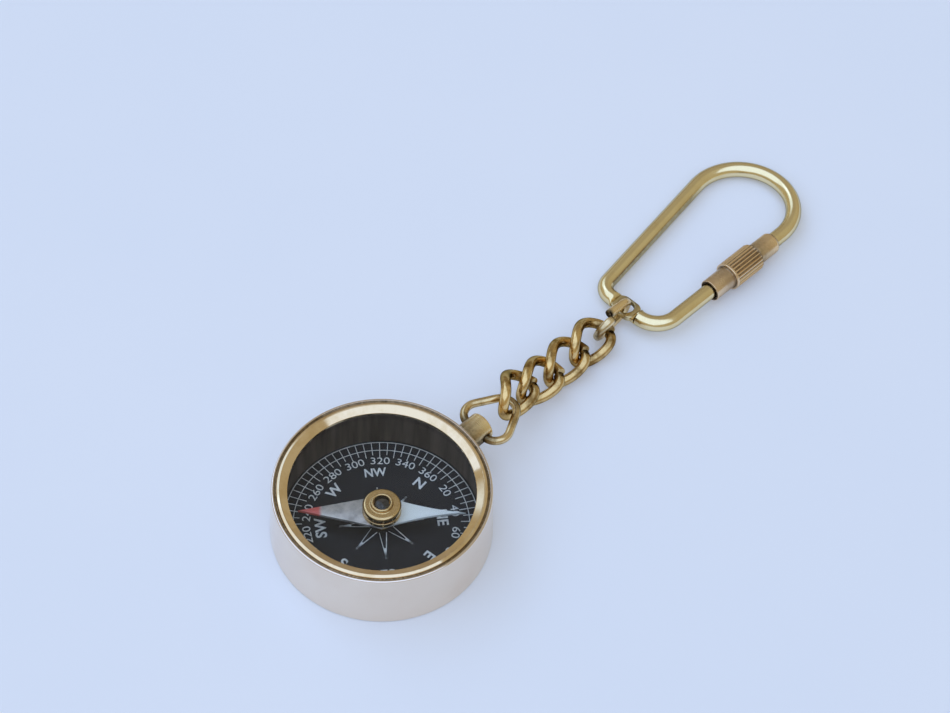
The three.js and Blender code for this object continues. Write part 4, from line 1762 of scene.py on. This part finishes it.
    def build_eye(self) -> Body:
        """Cuts the flat eye with its hole.

        Returns:
            The eye plate.
        """
        bm = bmesh.new()
        wide, long = self.eye_width / 2, self.eye_length / 2
        low = -self.eye_thickness / 2
        corners = [bm.verts.new((x * wide, y * long, low)) for x, y in ((1, 1), (-1, 1), (-1, -1), (1, -1))]
        bm.faces.new(corners)
        rounded(bm, corners, self.eye_round, 10)
        thickened(bm, self.eye_thickness)
        drill = tube(0.0, self.eye_hole, -self.drill_reach, self.drill_reach, 48)
        plate = combined(outward(bm), [drill])
        rim = [edge for edge in plate.edges if edge.is_manifold and edge.calc_face_angle(0.0) > 1.0]
        rounded(plate, rim, 0.16, 3)
        return plate

    def build_sleeve(self) -> Body:
        """Turns the sleeve and raises its straight ridges.

        Returns:
            The sleeve, about Z along the leg.
        """
        start, face = self.knurl_start, self.lock_face
        bore = self.wire / 2 + self.bore_gap
        thread_bore = self.thread_radius + self.thread_gap
        step = face - self.thread - self.gate * 0.75
        root = self.knurl_radius - self.ridge_depth
        inset, rise = self.knurl_chamfer
        core = turned(
            [
                (bore, self.mouth), (self.skirt_radius, self.mouth), (self.skirt_radius, start),
                (self.knurl_radius, start), (self.knurl_radius, start + self.lip), (root, start + self.lip),
                (root, face - rise), (root - inset, face), (thread_bore, face), (thread_bore, step),
                (bore, step),
            ],
            {1: 0.1, 2: 0.12, 3: 0.14, 4: 0.12}, 96,
        )
        return painted(combined(core, [self.build_ridges(root)], Joining.FUSE), self.sleeve_grime)

    def sleeve_grime(self, p: Vector) -> float:
        """Painted shade in the bore at the mouth, a painted shadow at the knurl's foot and painted shade
        between its ridges.

        Args:
            p: The point, along the leg.

        Returns:
            The painted shade.
        """
        out = p.xy.length
        # Painted shade inside the bore.
        inside = 1.0 if out < self.skirt_radius - 0.12 else 0.0
        # Painted shadow at the step up to the knurl.
        foot = 0.8 - 2.5 * abs(p.z - self.knurl_start) if out < self.skirt_radius + 0.2 else 0.0
        # Painted shade between the ridges.
        valley = 0.7 if p.z > self.knurl_start + self.lip and out < self.knurl_radius - 0.2 else 0.0
        return max(inside, foot, valley)

    def build_ridges(self, root: float) -> Body:
        """Raises the ridges between the sleeve's lip and its lock face.

        Args:
            root: Radius between the ridges.

        Returns:
            The band of ridges.
        """
        low = self.knurl_start + self.lip - 0.05
        high = self.lock_face - 0.15
        points = len(self.ridge_shape)
        radius = self.knurl_radius - self.ridge_inset
        bm = bmesh.new()
        foot = Matrix.Translation((0, 0, low))
        bmesh.ops.create_circle(bm, cap_ends=False, segments=self.ridges * points, radius=radius, matrix=foot)
        ordered = sorted(bm.verts, key=lambda vert: math.atan2(vert.co.y, vert.co.x))
        for number, share in enumerate(self.ridge_shape):
            bmesh.ops.scale(bm, vec=(share, share, 1.0), verts=ordered[number::points])
        first = bm.edges[:]
        ring = first
        for rise, share in ((high - low - self.ridge_slope, 1.0), (self.ridge_slope, self.ridge_end)):
            fresh, ring = extruded(bm, ring)
            bmesh.ops.translate(bm, vec=(0.0, 0.0, rise), verts=fresh)
            bmesh.ops.scale(bm, vec=(share, share, 1.0), verts=fresh)
        for end in (first, ring):
            bmesh.ops.contextual_create(bm, geom=end)
        return combined(outward(bm), [tube(0.0, root - 0.2, low - 1, high + 1, 48)])

    def build_ferrule(self) -> Body:
        """Turns the ferrule with its thread, with painted shade at its shoulder and its end.

        Returns:
            The ferrule, about Z along the leg.
        """
        face = self.lock_face + self.ferrule_gap
        end = self.lock_face + self.ferrule
        start = self.lock_face - self.thread
        valley = self.thread_radius - self.thread_depth
        socket = self.wire / 2 + self.socket_gap
        pitch = (face - start - 0.2) / self.thread_turns
        profile: list[Point] = [(0.0, start), (self.thread_radius - 0.2, start)]
        for number in range(self.thread_turns):
            low = start + 0.1 + number * pitch
            profile += [(valley, low), (self.thread_radius, low + pitch / 2)]
        profile.append((valley, face))
        shoulder = len(profile)
        profile += [
            (self.ferrule_radius, face), (self.ferrule_radius, end - self.taper), (self.ferrule_tip, end),
            (socket, end), (socket, end - self.socket), (0.0, end - self.socket),
        ]
        ferrule = turned(profile, {shoulder: 0.1, shoulder + 1: 0.12, shoulder + 2: 0.06}, 96)
        # Painted shade where the ferrule's shoulder meets the sleeve and round the socket at its end.
        return painted(ferrule, lambda p: max(0.8 - 2.0 * abs(p.z - face), 0.7 - 1.5 * (end - p.z)))


def main() -> None:
    """Builds the studio and the pieces in order."""
    logging.basicConfig(level=logging.INFO, format="%(name)s: %(message)s")
    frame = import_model()
    Studio().build()
    finishes = Finishes()
    CompassCase(finishes).build()
    CompassDial(finishes).build()
    NeedleAndPivot(finishes).build()
    hanger = StemAndBow(finishes)
    hanger.build()
    chain_end = CurbChain(finishes).build(hanger.far_end())
    ring_end = JumpRing(finishes).build(chain_end)
    KeyHoop(finishes).build(ring_end)


if __name__ == "__main__":
    main()
